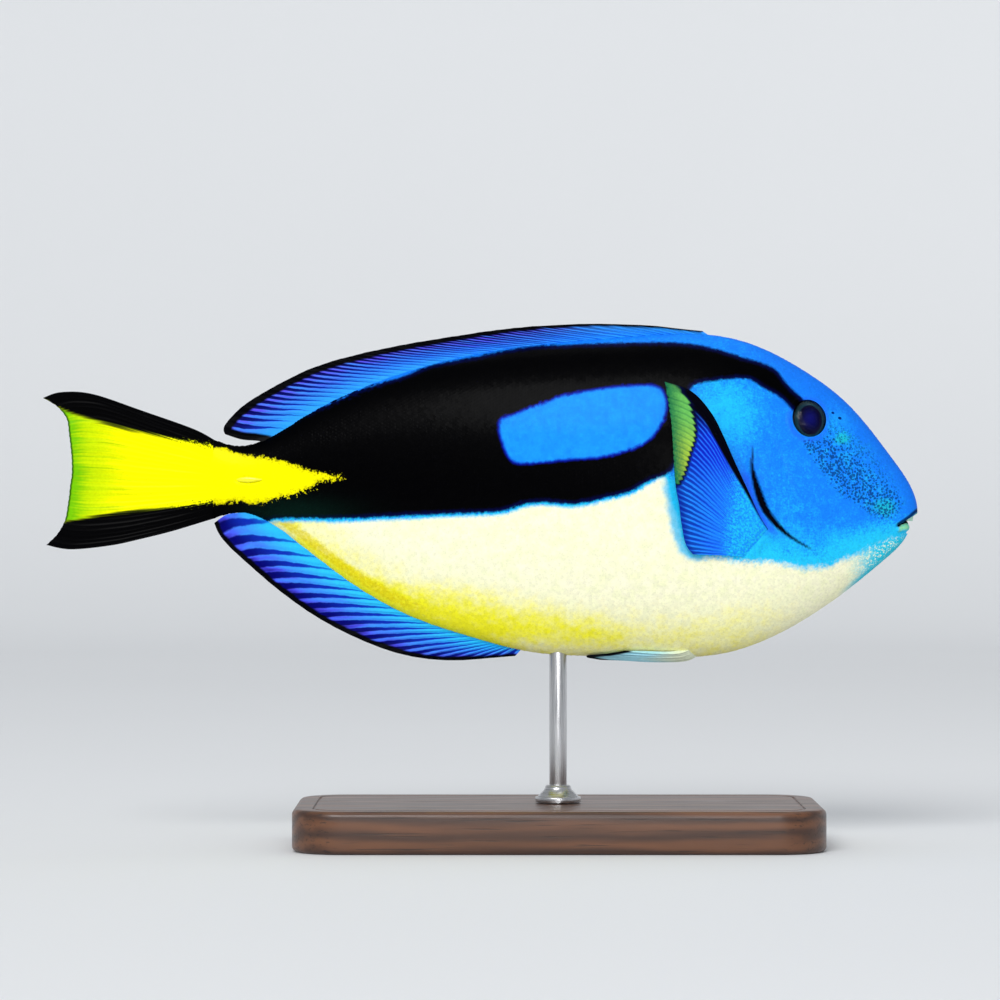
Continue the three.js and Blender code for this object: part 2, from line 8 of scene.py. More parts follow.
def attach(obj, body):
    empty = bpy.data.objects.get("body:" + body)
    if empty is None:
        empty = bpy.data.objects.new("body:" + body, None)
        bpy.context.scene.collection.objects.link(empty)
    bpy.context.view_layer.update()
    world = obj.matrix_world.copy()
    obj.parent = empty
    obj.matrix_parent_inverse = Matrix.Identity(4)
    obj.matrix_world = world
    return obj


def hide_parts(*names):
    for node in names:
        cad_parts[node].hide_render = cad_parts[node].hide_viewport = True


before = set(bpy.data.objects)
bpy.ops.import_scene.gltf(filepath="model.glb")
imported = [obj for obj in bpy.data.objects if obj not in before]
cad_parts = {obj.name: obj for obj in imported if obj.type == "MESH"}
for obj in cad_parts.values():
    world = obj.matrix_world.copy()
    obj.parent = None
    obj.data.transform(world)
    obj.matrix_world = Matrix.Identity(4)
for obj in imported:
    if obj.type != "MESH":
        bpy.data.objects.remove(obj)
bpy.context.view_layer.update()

# The body's form. A regal blue tang is a tall, narrow fish: an oval in side view, only 35 mm thick in
# 250 mm of length. Its outlines are percent of the length: behind the snout, then up from the axis.
total_length = 250.0
axis_height = 100.0
body_end = 80.7
section_pinch = 1.12
back_points = [
    (0, -1.95), (1.4, 2.1), (3.7, 5.3), (8.3, 10.75), (12.9, 14.2), (17.4, 16.65), (22, 18.1),
    (27, 18.45), (34, 18.05), (43, 17.25), (51, 16.05), (59, 13.95), (66, 11.25), (70.5, 8.85),
    (73.8, 6.8), (76.4, 5.75), (78.6, 5.75), (81, 6.6),
]
belly_points = [
    (0, -1.95), (0.5, -3.2), (1.5, -5.1), (3.7, -7.35), (8.3, -11.1), (12.9, -14.25), (17.4, -16.6),
    (22, -18.1), (27, -18.6), (36, -18.45), (44.3, -17.95), (52, -16), (59, -13.45), (65.2, -9.85),
    (71, -5.45), (74.3, -3.1), (76.6, -2.2), (78.8, -2.2), (81, -2.95),
]
half_width_points = [
    (0, 0), (0.5, 1.15), (1.4, 1.8), (3.7, 2.7), (8.3, 4.05), (12.9, 5.2), (17.4, 6.1), (22, 6.65),
    (28, 7), (36, 6.9), (44, 6.4), (52, 5.5), (59, 4.45), (65.5, 3.35), (71.5, 2.35), (76, 1.7),
    (81, 1),
]
widest_points = [
    (0, -1.95), (3.7, -1.4), (12.9, -0.5), (22, 0.5), (32, 1), (60, 1.2), (75, 1.7), (81, 1.75),
]


def outline(points):
    """A smooth curve through points, set against the root of their distance, so that the snout is round."""
    way = np.sqrt([point[0] for point in points])
    value = np.array([point[1] for point in points], dtype=float)
    step = np.diff(way)
    table = np.eye(len(way))
    turn = np.zeros(len(way))
    for i in range(1, len(way) - 1):
        table[i, i - 1:i + 2] = step[i - 1], 2 * (step[i - 1] + step[i]), step[i]
        turn[i] = 6 * ((value[i + 1] - value[i]) / step[i] - (value[i] - value[i - 1]) / step[i - 1])
    bend = np.linalg.solve(table, turn)

    def at(behind):
        here = np.sqrt(np.maximum(behind, 0))
        i = np.clip(np.searchsorted(way, here) - 1, 0, len(step) - 1)
        a = (way[i + 1] - here) / step[i]
        b = 1 - a
        sag = ((a ** 3 - a) * bend[i] + (b ** 3 - b) * bend[i + 1]) * step[i] ** 2 / 6
        return a * value[i] + b * value[i + 1] + sag

    return at


back = outline(back_points)
belly = outline(belly_points)
half_width = outline(half_width_points)
widest = outline(widest_points)


def mm(percent):
    return percent * total_length / 100


def space(behind, across, up):
    """The point in mm at a place in the side view, at a distance in mm from the middle plane."""
    return total_length / 2 - mm(behind), across, mm(up) + axis_height


def side_view(points):
    """How far behind the snout and above the axis points in mm lie, in percent."""
    behind = (total_length / 2 - points[..., 0]) * 100 / total_length
    up = (points[..., 2] - axis_height) * 100 / total_length
    return behind, up


def ease(low, high, value):
    """0 below low and 1 above high, or the other way round, with a soft step between."""
    share = np.clip((value - low) / (high - low), 0, 1)
    return share * share * (3 - 2 * share)


def flesh(behind, angle, sink=0.0, girth=1.0):
    """Points in mm, at angles round the body from the middle of the back towards the left side."""
    middle = mm(widest(behind))
    rise = np.cos(angle)
    sink = sink * ease(0, 1.2, behind)
    reach = np.where(rise > 0, mm(back(behind)) - middle, middle - mm(belly(behind))) - sink
    side = np.sin(angle)
    across = (mm(half_width(behind)) - sink) * np.sign(side) * np.abs(side) ** section_pinch
    along = total_length / 2 - mm(behind) + np.zeros_like(angle)
    return np.stack([along, across * girth, middle + reach * rise * girth + axis_height], axis=-1)


def flesh_normal(behind, angle):
    """Outward directions of the skin."""
    round_body = flesh(behind, angle - 0.01) - flesh(behind, angle + 0.01)
    forward = flesh(np.maximum(behind - 0.1, 0), angle) - flesh(behind + 0.1, angle)
    out = np.cross(round_body, forward)
    return out / np.maximum(np.linalg.norm(out, axis=-1, keepdims=True), 1e-9)


def flank(behind, up):
    """How far in mm the flank lies off the middle plane at a place in the side view."""
    middle = widest(behind)
    limit = np.where(up > middle, back(behind), belly(behind))
    share = np.minimum(1, np.abs((up - middle) / (limit - middle)))
    return mm(half_width(behind)) * np.sqrt(1 - share ** 2) ** section_pinch


def flank_frame(behind, up):
    """Place in mm and outward direction of the left flank at a place in the side view."""
    reach = 0.2
    along = float(flank(behind + reach, up) - flank(behind - reach, up)) / mm(2 * reach)
    rise = float(flank(behind, up + reach) - flank(behind, up - reach)) / mm(2 * reach)
    place = Vector(space(behind, float(flank(behind, up)), up))
    return place, Vector((along, 1, -rise)).normalized()


def smooth_line(points, steps=6):
    """A curve through side-view points, as many short straight pieces."""
    points = np.array(points, dtype=float)
    ends = np.vstack([points[:1], points, points[-1:]])
    share = np.linspace(0, 1, steps, endpoint=False)[:, None]
    run = []
    for before, start, end, after in zip(ends[:-3], ends[1:-2], ends[2:-1], ends[3:]):
        leave = (end - before) / 2
        arrive = (after - start) / 2
        cube = (2 * start - 2 * end + leave + arrive) * share ** 3
        run.append(cube + (-3 * start + 3 * end - 2 * leave - arrive) * share ** 2 + leave * share + start)
    return np.vstack(run + [points[-1:]])


def from_line(place, line):
    """Distance in mm of side-view places to a line, more than 0 on its left, and the nearest points."""
    best = np.full(len(place), 1e9)
    sign = np.ones(len(place))
    nearest = np.zeros_like(place)
    for start, end in zip(line[:-1], line[1:]):
        along = end - start
        share = np.clip((place - start) @ along / max(along @ along, 1e-12), 0, 1)
        foot = start + share[:, None] * along
        gap = np.hypot(*(place - foot).T)
        closer = gap < best
        best = np.where(closer, gap, best)
        nearest[closer] = foot[closer]
        cross = along[0] * (place[:, 1] - start[1]) - along[1] * (place[:, 0] - start[0])
        sign = np.where(closer, np.where(cross >= 0, 1.0, -1.0), sign)
    return mm(best) * sign, nearest


def within(place, ring):
    """Distance in mm of side-view places to a closed outline, more than 0 inside it."""
    ring = np.vstack([ring, ring[:1]])
    odd = np.zeros(len(place), dtype=bool)
    for start, end in zip(ring[:-1], ring[1:]):
        crosses = (start[1] > place[:, 1]) != (end[1] > place[:, 1])
        rise = end[1] - start[1] if abs(end[1] - start[1]) > 1e-9 else 1e-9
        at = start[0] + (end[0] - start[0]) * (place[:, 1] - start[1]) / rise
        odd ^= crosses & (place[:, 0] < at)
    return np.abs(from_line(place, ring)[0]) * np.where(odd, 1, -1)


# What stands out of the skin or lies in it: the gill cover's free edge with the dark slit behind it, the
# rims of the eyes, the fleshy roots of the breast fins and the grooves that the tail's spines lie in.
gill_edge = smooth_line([
    (20.9, 24), (20.6, 17), (20, 11), (19.2, 5.5), (19.3, 3.5), (18.8, 1.3), (17.9, -1.2),
    (16.9, -2.75), (15.4, -4.3), (13.8, -5.4), (12.2, -6.4), (10, -9), (8.9, -13), (8.6, -22),
])
cheek_edge = smooth_line([(17.4, 6.6), (17.2, 6.4), (15.6, 3.2), (14.4, -0.8), (12.9, -4), (11, -6.9)])
cover_lift = 0.42
slit_depth = 1.0
cheek_fold = 0.1
eye_place = (12.75, 8.6)
eye_reach = (1.96, 2.08)
eye_size = (11.2, 6.6, 11.9)
eye_sunk = 1.75
eye_rim_lift = 0.45
breast_root = np.array([(17.5, -4), (19.9, -6.9)])
breast_root_lift = 0.7
spine_place = (76.3, 1.75)
groove_reach = (4.3, 1.25)
groove_depth = 0.55


def slit_gape(up):
    """How far the gill slit stands open along its length, from 0 to 1."""
    share = np.clip((6.6 - up) / 12.9, 0, 1)
    return np.sin(math.pi * share ** 1.15) ** np.where(up > -0.8, 2.2, 1.2)


def eye_ring(behind, up):
    """1 at the eye's outline in the side view, less inside it."""
    return np.hypot((behind - eye_place[0]) / eye_reach[0], (up - eye_place[1]) / eye_reach[1])


def relief(behind, up):
    """Height in mm of the skin's surface over the plain body."""
    place = np.stack([behind, up], axis=-1)
    gap, nearest = from_line(place, gill_edge)
    gape = slit_gape(nearest[:, 1])
    ahead = -gap - 0.8 * gape
    edge = np.maximum(gape, 0.25 * ease(12, 6, nearest[:, 1]))
    height = cover_lift * edge * ease(-0.2, 0.3, ahead) * np.exp(-np.maximum(ahead, 0) / 8)
    height -= slit_depth * gape * np.exp(-((ahead + 1.0) / (0.35 + 0.85 * gape)) ** 2)
    height -= cheek_fold * np.exp(-(from_line(place, cheek_edge)[0] / 0.8) ** 2)
    height += eye_rim_lift * np.exp(-((eye_ring(behind, up) - 1.16) / 0.13) ** 2)
    root_gap = from_line(place, breast_root)[0]
    height += breast_root_lift * np.exp(-(root_gap / 2.2) ** 2) * ease(0.1, -1.2, ahead)
    groove_long = mm(behind - spine_place[0]) / groove_reach[0]
    groove_tall = mm(up - spine_place[1]) / groove_reach[1]
    return height - groove_depth * np.exp(-np.hypot(groove_long, groove_tall) ** 4)


def skin_surface(behind, angle, sink=0.0, girth=1.0):
    """Points in mm of the skin. Its relief fades out towards the ridges of the back and the belly."""
    plain = flesh(behind, angle, sink, girth)
    height = relief(behind, side_view(plain)[1]) * ease(0.0, 0.35, np.abs(np.sin(angle)))
    return plain + flesh_normal(behind, angle) * height[:, None]


# The skin is one closed piece. A sphere whose poles are the snout and the end of the tail's stem is drawn
# out to the outlines, 0.12 mm inside them to leave room for the scales, then cut and joined at the head.
scale_room = 0.12
ring_count = 356
side_count = 250
ridge_crowding = 0.2
front_crowding = 1.6
body_share = 0.985
cap_share = 0.015
body_map = (0.0, 0.95)
cut_map = (0.955, 0.04)


def deselect():
    bpy.ops.object.select_all(action="DESELECT")


def points_of(mesh):
    flat = np.empty(len(mesh.vertices) * 3, dtype=np.float32)
    mesh.vertices.foreach_get("co", flat)
    return flat.reshape(-1, 3).astype(float)


def set_points(mesh, points):
    mesh.vertices.foreach_set("co", np.ascontiguousarray(points, dtype=np.float32).ravel())
    mesh.update()


def give(mesh, name, values):
    """Stores one number for each point of a mesh, for its material to read."""
    if name in mesh.attributes:
        mesh.attributes.remove(mesh.attributes[name])
    kept = mesh.attributes.new(name, "FLOAT", "POINT")
    kept.data.foreach_set("value", np.ascontiguousarray(values, dtype=np.float32))


def pick(piece):
    """Selects a piece alone and makes it the one that operators work on."""
    deselect()
    piece.select_set(True)
    bpy.context.view_layer.objects.active = piece


def settle(piece):
    """Moves a piece's place, turn and size into its mesh."""
    pick(piece)
    bpy.ops.object.transform_apply(location=True, rotation=True, scale=True)


def apply_all(piece):
    pick(piece)
    for modifier in list(piece.modifiers):
        bpy.ops.object.modifier_apply(modifier=modifier.name)


def named(name):
    piece = bpy.context.object
    piece.name = name
    piece.data.name = name
    return piece


def edit_mode():
    bpy.ops.object.mode_set(mode="EDIT")


def object_mode():
    bpy.ops.object.mode_set(mode="OBJECT")


def edit_all():
    edit_mode()
    bpy.ops.mesh.select_all(action="SELECT")


def turn_faces(inside=False, merge=0.0):
    """Turns all faces of the active piece outwards, or inwards, once its doubles are merged."""
    edit_all()
    if merge:
        bpy.ops.mesh.remove_doubles(threshold=merge)
    bpy.ops.mesh.normals_make_consistent(inside=inside)
    object_mode()


def squeeze_map(mesh, start, share):
    """Squeezes a mesh's flat map into a strip of the sheet, so that joined parts don't overlap there."""
    if not mesh.uv_layers:
        mesh.uv_layers.new(name="OFBake")
    mesh.uv_layers[0].name = "OFBake"
    flat = np.empty(len(mesh.loops) * 2, dtype=np.float32)
    mesh.uv_layers[0].data.foreach_get("uv", flat)
    flat[1::2] = start + share * np.clip(flat[1::2], 0, 1)
    mesh.uv_layers[0].data.foreach_set("uv", flat)


deselect()
bpy.ops.mesh.primitive_uv_sphere_add(segments=side_count, ring_count=ring_count, radius=1)
skin = named("skin")
ball = points_of(skin.data)
share = np.arccos(np.clip(ball[:, 2] / np.linalg.norm(ball, axis=1), -1, 1)) / math.pi
turn = np.arctan2(ball[:, 1], ball[:, 0])
angle = turn + ridge_crowding * np.sin(2 * turn)
behind = body_end * np.minimum(share / body_share, 1) ** front_crowding
cap = np.clip((share - body_share) / cap_share, 0, 1)
girth = np.sqrt(np.clip(1 - cap ** 2, 0, 1))
set_points(skin.data, skin_surface(behind, angle, scale_room, girth) / 1000)
give(skin.data, "recess_shade", np.zeros(len(ball)))
squeeze_map(skin.data, *body_map)
turn_faces()


# Each tool's faces keep a value for the painted shade inside the cuts, 1 on cuts and the mouth's lining, 0
# on the lips.
def carve(piece, tool, kind, recess_shade):
    """Cuts a closed tool out of a piece, or joins it to the piece, and removes the tool."""
    give(tool.data, "recess_shade", np.full(len(tool.data.vertices), recess_shade))
    squeeze_map(tool.data, *cut_map)
    modifier = piece.modifiers.new("cut", "BOOLEAN")
    modifier.object = tool
    modifier.operation = kind
    modifier.solver = "MANIFOLD"
    apply_all(piece)
    bpy.data.objects.remove(tool)


# The eyes' sockets and the two nostrils on each side are balls cut out of the skin.
sideways = Vector((0, 1, 0))
eye_spot, eye_out = flank_frame(*eye_place)
eye_look = eye_out.lerp(sideways, 0.25).normalized()
eye_turn = sideways.rotation_difference(eye_look)
eye_centre = eye_spot - eye_look * eye_sunk
socket_size = [size / 2 + 0.22 for size in eye_size]
nostrils = (((9.85, 9.35), 0.5), ((9.05, 8.75), 0.62))
nose_place = (9.45, 9.05)


def ball_at(name, centre, radii, turn, side, segments=48, rings=32):
    """A closed ball in mm. Its poles point out of the head, and side is 1 for left and -1 for right."""
    deselect()
    bpy.ops.mesh.primitive_uv_sphere_add(segments=segments, ring_count=rings, radius=1)
    piece = named(name)
    points = points_of(piece.data)
    give(piece.data, "across", points[:, 0])
    give(piece.data, "tall", points[:, 1])
    points = np.stack([points[:, 0] * radii[0], points[:, 2] * radii[1], -points[:, 1] * radii[2]], axis=-1)
    points = points @ np.array(turn.to_matrix()).T + np.array(centre)
    points[:, 1] *= side
    set_points(piece.data, points / 1000)
    if side < 0:
        piece.data.flip_normals()
    return piece


for side in (1, -1):
    carve(skin, ball_at("socket", eye_centre, socket_size, eye_turn, side), "DIFFERENCE", 1.0)
    for place, radius in nostrils:
        spot, out = flank_frame(*place)
        pit_turn = sideways.rotation_difference(out)
        pit = ball_at("pit", spot, (radius, radius * 1.5, radius * 0.75), pit_turn, side, 20, 12)
        carve(skin, pit, "DIFFERENCE", 1.0)

# The mouth is small and stands a little open. A wedge is cut out across the front of the snout, and lips as
# thick as cord, pale green in life, run from one corner round the front to the other.
mouth_gap = [(-1, -1.5), (0.2, -2.2), (2.5, -3.5), (2.2, -3.85), (1.5, -4.0), (1.3, -4.4), (-1, -4.7)]
mouth_side = 10
lining_place = (2.1, -3.35)
lining_size = (2.6, 3.9, 1.7)
upper_lip = ((0.25, -2.0), (2.65, -3.3), 0.55)
lower_lip = ((1.42, -3.72), (2.5, -3.95), 1.2)
lip_shares = (0, 0.18, 0.45, 0.75, 1)
lip_sunk = 0.1
deselect()
bpy.ops.mesh.primitive_circle_add(vertices=len(mouth_gap), radius=1, fill_type="NGON")
wedge = named("wedge")
set_points(wedge.data, np.array([space(d, -mouth_side, h) for d, h in mouth_gap]) / 1000)
edit_all()
bpy.ops.mesh.extrude_region_move(TRANSFORM_OT_translate={"value": (0, 2 * mouth_side / 1000, 0)})
turn_faces()
carve(skin, wedge, "DIFFERENCE", 1.0)
lining_centre = space(lining_place[0], 0, lining_place[1])
carve(skin, ball_at("lining", lining_centre, lining_size, Quaternion(), 1, 40, 28), "UNION", 1.0)
lip_lines = []
for front, corner, thickness in (upper_lip, lower_lip):
    half = []
    for share in lip_shares:
        d = front[0] + (corner[0] - front[0]) * share
        h = front[1] + (corner[1] - front[1]) * share
        out = 0.0 if share == 0 else float(flank(d, h)) - lip_sunk
        half.append(space(d, out, h))
    whole = [(x, -y, z) for x, y, z in half[:0:-1]] + half
    lip_lines.append(np.array(whole))
    path = bpy.data.curves.new("lip", "CURVE")
    path.dimensions = "3D"
    path.bevel_depth = thickness / 1000
    path.bevel_resolution = 5
    path.use_fill_caps = True
    path.resolution_u = 8
    run = path.splines.new("BEZIER")
    run.bezier_points.add(len(whole) - 1)
    for i, (knot, point) in enumerate(zip(run.bezier_points, whole)):
        knot.co = Vector(point) / 1000
        knot.handle_left_type = knot.handle_right_type = "AUTO"
        knot.radius = 0.45 + 0.55 * math.sin(math.pi * (i + 0.6) / (len(whole) + 0.2))
    lip = bpy.data.objects.new("lip", path)
    bpy.context.collection.objects.link(lip)
    pick(lip)
    bpy.ops.object.convert(target="MESH")
    turn_faces(merge=0.00001)
    carve(skin, bpy.context.object, "UNION", 0.0)

# Where the lips were joined on, the skin is smoothed twice, first wide and then close, so that they grow
# out of it.
smoothing = ((5, 1.7), (4, 1.25))
points = points_of(skin.data) * 1000
near = np.full(len(points), np.inf)
for line in lip_lines:
    for start, end in zip(line[:-1], line[1:]):
        along = end - start
        share = np.clip((points - start) @ along / (along @ along), 0, 1)
        near = np.minimum(near, np.linalg.norm(points - start - share[:, None] * along, axis=1))
pick(skin)
for repeat, reach in smoothing:
    edit_mode()
    bpy.ops.mesh.select_all(action="DESELECT")
    bpy.ops.mesh.select_mode(type="VERT")
    object_mode()
    skin.data.vertices.foreach_set("select", near < reach)
    edit_mode()
    bpy.ops.mesh.vertices_smooth(factor=0.5, repeat=repeat)
    object_mode()
bpy.ops.object.shade_smooth_by_angle(angle=math.radians(50))

# The markings, with the painted shade and highlight. The outlines of the black band, the blue oval in it,
# the yellow wedge and the pale belly are drawn in the side view, and each point of skin and each scale
# keeps how far it lies inside them.
band_ring = smooth_line([
    (82.6, 8.6), (76.3, 8.1), (75, 7.4), (72.9, 8.3), (71.1, 9.1), (68.9, 9.9), (66.3, 11.1),
    (63.6, 12.2), (61, 13), (58.4, 13.8), (55.8, 14.9), (53.1, 15.4), (50.5, 15.9), (47.7, 16.5),
    (43.9, 17.1), (40.9, 17.2), (37.2, 17.35), (29.3, 17.5), (25.4, 17.2), (22.8, 16.6), (20.2, 15.8),
    (17.6, 15), (16.2, 14.2), (14.9, 12.5), (13.4, 11.1), (12.2, 9.6), (12.6, 8.6), (14.2, 9.3),
    (14.9, 9.85), (16.2, 11.1), (18.1, 12.15), (19.6, 13.05), (21.5, 13.05), (24.1, 12.75),
    (25.5, 12.45), (26.2, 11.8), (26.7, 10.3), (27.2, 7.45), (27.6, 4.6), (28.5, 2.5), (30.9, 1.5),
    (33, 0.3), (36, -0.45), (39.4, -1.15), (42.5, -0.9), (45.1, -1.15), (47.7, -1.95), (54, -2.25),
    (59.2, -2.5), (65.5, -2.8), (73.1, -2.75), (75.8, -4), (82.6, -4.6),
], 4)
oval_ring = smooth_line([
    (47.7, 7), (46.7, 4.35), (45.1, 3.65), (39.9, 4.1), (36, 4.45), (32, 5.65), (29.9, 7.55),
    (29.1, 9.4), (29.1, 10.9), (29.9, 12.1), (32, 12.3), (34.6, 12.1), (37.8, 11.65), (40.7, 11.1),
    (42.5, 10.4), (44.3, 9.8), (46.1, 9), (47.5, 8.6), (47.75, 7.8), (47.7, 7),
], 4)
wedge_ring = smooth_line([
    (84, 6.1), (79.8, 5.45), (77.4, 4.7), (75.1, 4.4), (72.7, 3.9), (70.4, 3.2), (69.2, 2.75),
    (66.8, 2.3), (65.5, 2), (66.3, 1.7), (68.1, 1.6), (69.2, 0.9), (71.5, -0.05), (73.9, -0.65),
    (76.2, -1.05), (77.4, -0.65), (79.1, -0.9), (84, -1),
], 4)
pale_ring = smooth_line([
    (76, -3.3), (73.1, -2.75), (65.5, -2.8), (59.2, -2.5), (54, -2.25), (47.7, -1.95), (45.1, -1.15),
    (42.5, -0.9), (39.4, -1.15), (36, -0.45), (33, 0.3), (30.9, 1.5), (28.9, 2.2), (28.2, -0.5),
    (27.4, -3), (26.5, -5.8), (25.3, -6.7), (23, -6.8), (20.6, -7.3), (16.9, -7.3), (13.9, -7.9),
    (10.7, -7.9), (9.4, -7.3), (7.4, -6.5), (5.2, -5.6), (3.6, -4.9), (2.2, -4.7), (0.5, -4.9),
    (-2, -9), (4, -22), (30, -26), (60, -22), (80, -12),
], 4)
freckle_ring = smooth_line([
    (13.5, 6.4), (12.8, 4.7), (11.1, 2.4), (9.7, 0.5), (8, -0.7), (6.4, -1.6), (4.9, -2.5), (3.4, -2.7),
    (2.1, -1.7), (1.6, -0.5), (3.4, 2.8), (5.2, 5.3), (7.3, 7.2), (9.9, 8.6), (10.9, 7.9), (11.3, 6.2),
    (13.5, 6.4),
], 4)
freckle_line = np.array([(12.4, 5.3), (9.8, 3.4), (6.6, -0.2), (4.2, -2.0)])
halo_line = np.array([(28.3, 1.0), (27.9, -1.2), (27.4, -3.4), (26.7, -5.8), (25.6, -6.8)])
upper_lip_line = ([-0.5, 0.34, 1.3, 2.5], [-1.45, -1.89, -2.62, -3.4])


def soft_spot(behind, up, centre, reach, power=2):
    """1 at a centre in the side view, less and less away from it."""
    return np.exp(-np.hypot((behind - centre[0]) / reach[0], (up - centre[1]) / reach[1]) ** power)


def markings(behind, up):
    """What the skin's material reads at places in the side view: markings, painted shade and a highlight.
    """
    place = np.stack([behind, up], axis=-1)
    gill_gap, gill_near = from_line(place, gill_edge)
    gape = slit_gape(gill_near[:, 1])
    over_belly = up - belly(behind)
    under_back = back(behind) - up
    warm_reach = np.interp(behind, [24, 33, 42, 52, 61, 68, 76], [3, 7, 9.5, 9.5, 5.5, 2.6, 1.5])
    warm = ease(1.0, 0.12, over_belly / warm_reach) * ease(22, 37, behind) * ease(79, 66, behind)
    warm = warm * (1 - 0.5 * ease(3.2, 0.4, over_belly) * ease(50, 43, behind))
    warm = np.maximum(warm, 0.5 * ease(9, 2, over_belly) * ease(8, 22, behind))
    hem = ease(0.4, 1.0, over_belly) * ease(2.7, 1.8, over_belly) * ease(50, 62, behind)
    hem_end = soft_spot(behind, up, (72, -3.0), (0.85, 0.85))
    cheek = soft_spot(behind, up, (22.6, 9.4), (4.2, 4.6))
    breast = soft_spot(behind, up, (20.5, -5.3), (5.0, 1.9))
    jaw = soft_spot(behind, up, (7.0, -5.6), (6.5, 2.0))
    brow = soft_spot(behind, up, (9.0, 8.4), (2.2, 1.9))
    face = soft_spot(behind, up, (15.5, -1.5), (3.0, 5.0))
    by_eye = soft_spot(behind, up, (8.9, 6.4), (1.3, 0.9))
    by_mouth = soft_spot(behind, up, (4.1, -1.4), (1.8, 1.3))
    freckle_gap = np.abs(from_line(place, freckle_line)[0])
    under_lip = (np.interp(behind, *upper_lip_line) - up) * 0.78
    lip_pale = ease(0.14, 0.24, under_lip) * ease(0.85, 0.7, under_lip) * ease(2.5, 2.1, behind)
    lower_lip_pale = ease(2.5, 1.8, behind) * ease(-3.1, -3.35, up) * ease(-4.15, -3.8, up)
    slit_share = np.abs(gill_gap - 0.2 * gape) / (0.15 + 1.05 * gape)
    speckled = 0.5 * np.exp(-(((behind - 71.5) / 3.5) ** 2)) * (up < 0.5)
    return {
        "band": within(place, band_ring),
        "oval": within(place, oval_ring),
        "wedge": within(place, wedge_ring),
        "pale": within(place, pale_ring),
        "warm": np.clip(warm + 0.2 * hem, 0, 1),
        "hem": np.clip(np.maximum(hem * 0.8, hem_end * 1.4), 0, 1),
        "glow": np.clip(0.85 * cheek + breast + 0.85 * jaw + 0.5 * brow + 0.25 * face, 0, 1),
        "patch": np.clip(by_eye + by_mouth, 0, 1),
        "front": ease(29, 26, behind),
        "halo": ease(4.5, 0.5, np.abs(from_line(place, halo_line)[0])) * ease(-8.5, -6.5, up),
        # Painted highlight: a violet-blue strip on the flank behind the gill slit.
        "violet_highlight": np.exp(-((gill_gap - 2.4) / 1.3) ** 2) * ease(-5.6, -3.5, up) * ease(3.6, 1.4, up),
        # Painted shade: the blue turns darker along the top edge of the head.
        "crown_shade": ease(5.5, 0.6, under_back) * ease(24, 14, behind),
        "freckle": ease(-1.5, 2.5, within(place, freckle_ring)) * (0.3 + 0.7 * ease(8.5, 1.5, freckle_gap)),
        "chin": ease(9.5, 3.5, behind) * ease(-4.2, -4.8, up),
        # Painted shade: teal along the chin's lower edge, where it turns under.
        "jaw": ease(0.95, 0.3, over_belly) * ease(9.5, 6.5, behind) * ease(-3.9, -4.6, up),
        # Painted shadow: a dark line under the upper lip, where it overhangs the teeth.
        "lip": ease(0.26, 0.12, np.abs(under_lip)) * ease(2.75, 2.4, behind),
        "nose": soft_spot(behind, up, nose_place, (1.1, 1.1), 4),
        "rag": np.interp(behind, [66, 70, 76, 80], [1, 0.8, 0.4, 0.32]) + speckled,
        "moss": soft_spot(behind, up, (71.5, -2.0), (6, 1.6)) * ease(80.5, 76, behind),
        # Dark skin with painted shadow: near-black along the open gill slit.
        "slit_dark_and_shadow": ease(1.0, 0.75, slit_share) * ease(0.0, 0.06, gape),
        "rim": np.exp(-((eye_ring(behind, up) - 1.13) / 0.1) ** 2),
        "green": np.maximum(lip_pale, lower_lip_pale),
    }


net_step = 0.11
net_behind = np.arange(-1.5, 83.5, net_step)
net_up = np.arange(-20.0, 20.0, net_step)
net = np.meshgrid(net_behind, net_up, indexing="ij")
tables = {
    name: values.reshape(net[0].shape)
    for name, values in markings(net[0].ravel(), net[1].ravel()).items()
}


def marked(mesh, behind, up, nudge=0.0):
    """Gives the points of a mesh their markings and painted shade, read between the knots of the net."""
    across = np.clip((behind + nudge - net_behind[0]) / net_step, 0, len(net_behind) - 1.001)
    rise = np.clip((up + nudge - net_up[0]) / net_step, 0, len(net_up) - 1.001)
    i = across.astype(int)
    j = rise.astype(int)
    a = across - i
    b = rise - j
    for name, table in tables.items():
        low = table[i, j] * (1 - a) + table[i + 1, j] * a
        high = table[i, j + 1] * (1 - a) + table[i + 1, j + 1] * a
        give(mesh, name, low * (1 - b) + high * b)


points = points_of(skin.data) * 1000
marked(skin.data, *side_view(points))
give(skin.data, "tone", np.full(len(points), 0.5))

# The skin's finish: a moist, satin, scaled skin, pure in colour. The blue is laid first, with painted shade
# along the top of the head and a painted highlight behind the gill slit. Then come the freckles, the cream
# and yellow of the belly with painted shade at the chin's lower edge, the black, the oval and the yellow
# wedge.
# Last come a painted shadow under the upper lip, dark skin with painted shadow in the gill slit, and
# painted shade inside the cut openings.


def shade(code):
    """A colour from its screen code, as the shader wants it."""
    parts = [int(code[i:i + 2], 16) / 255 for i in (1, 3, 5)]
    line = [part / 12.92 if part <= 0.04045 else ((part + 0.055) / 1.055) ** 2.4 for part in parts]
    return (*line, 1.0)


def new_finish(name):
    finish = bpy.data.materials.new(name)
    finish.use_nodes = True
    return finish, finish.node_tree, finish.node_tree.nodes["Principled BSDF"]


def plug(tree, source, socket):
    """Feeds a socket from another one or from a value that the mesh keeps, or sets it as it is."""
    if isinstance(source, str):
        source = shade(source) if source.startswith("#") else kept_value(tree, source)
    if isinstance(source, bpy.types.NodeSocket):
        tree.links.new(source, socket)
    else:
        socket.default_value = source


def calc(tree, kind, first, second=0.0):
    made = tree.nodes.new("ShaderNodeMath")
    made.operation = kind
    plug(tree, first, made.inputs[0])
    plug(tree, second, made.inputs[1])
    return made.outputs[0]


def times(tree, first, second):
    return calc(tree, "MULTIPLY", first, second)


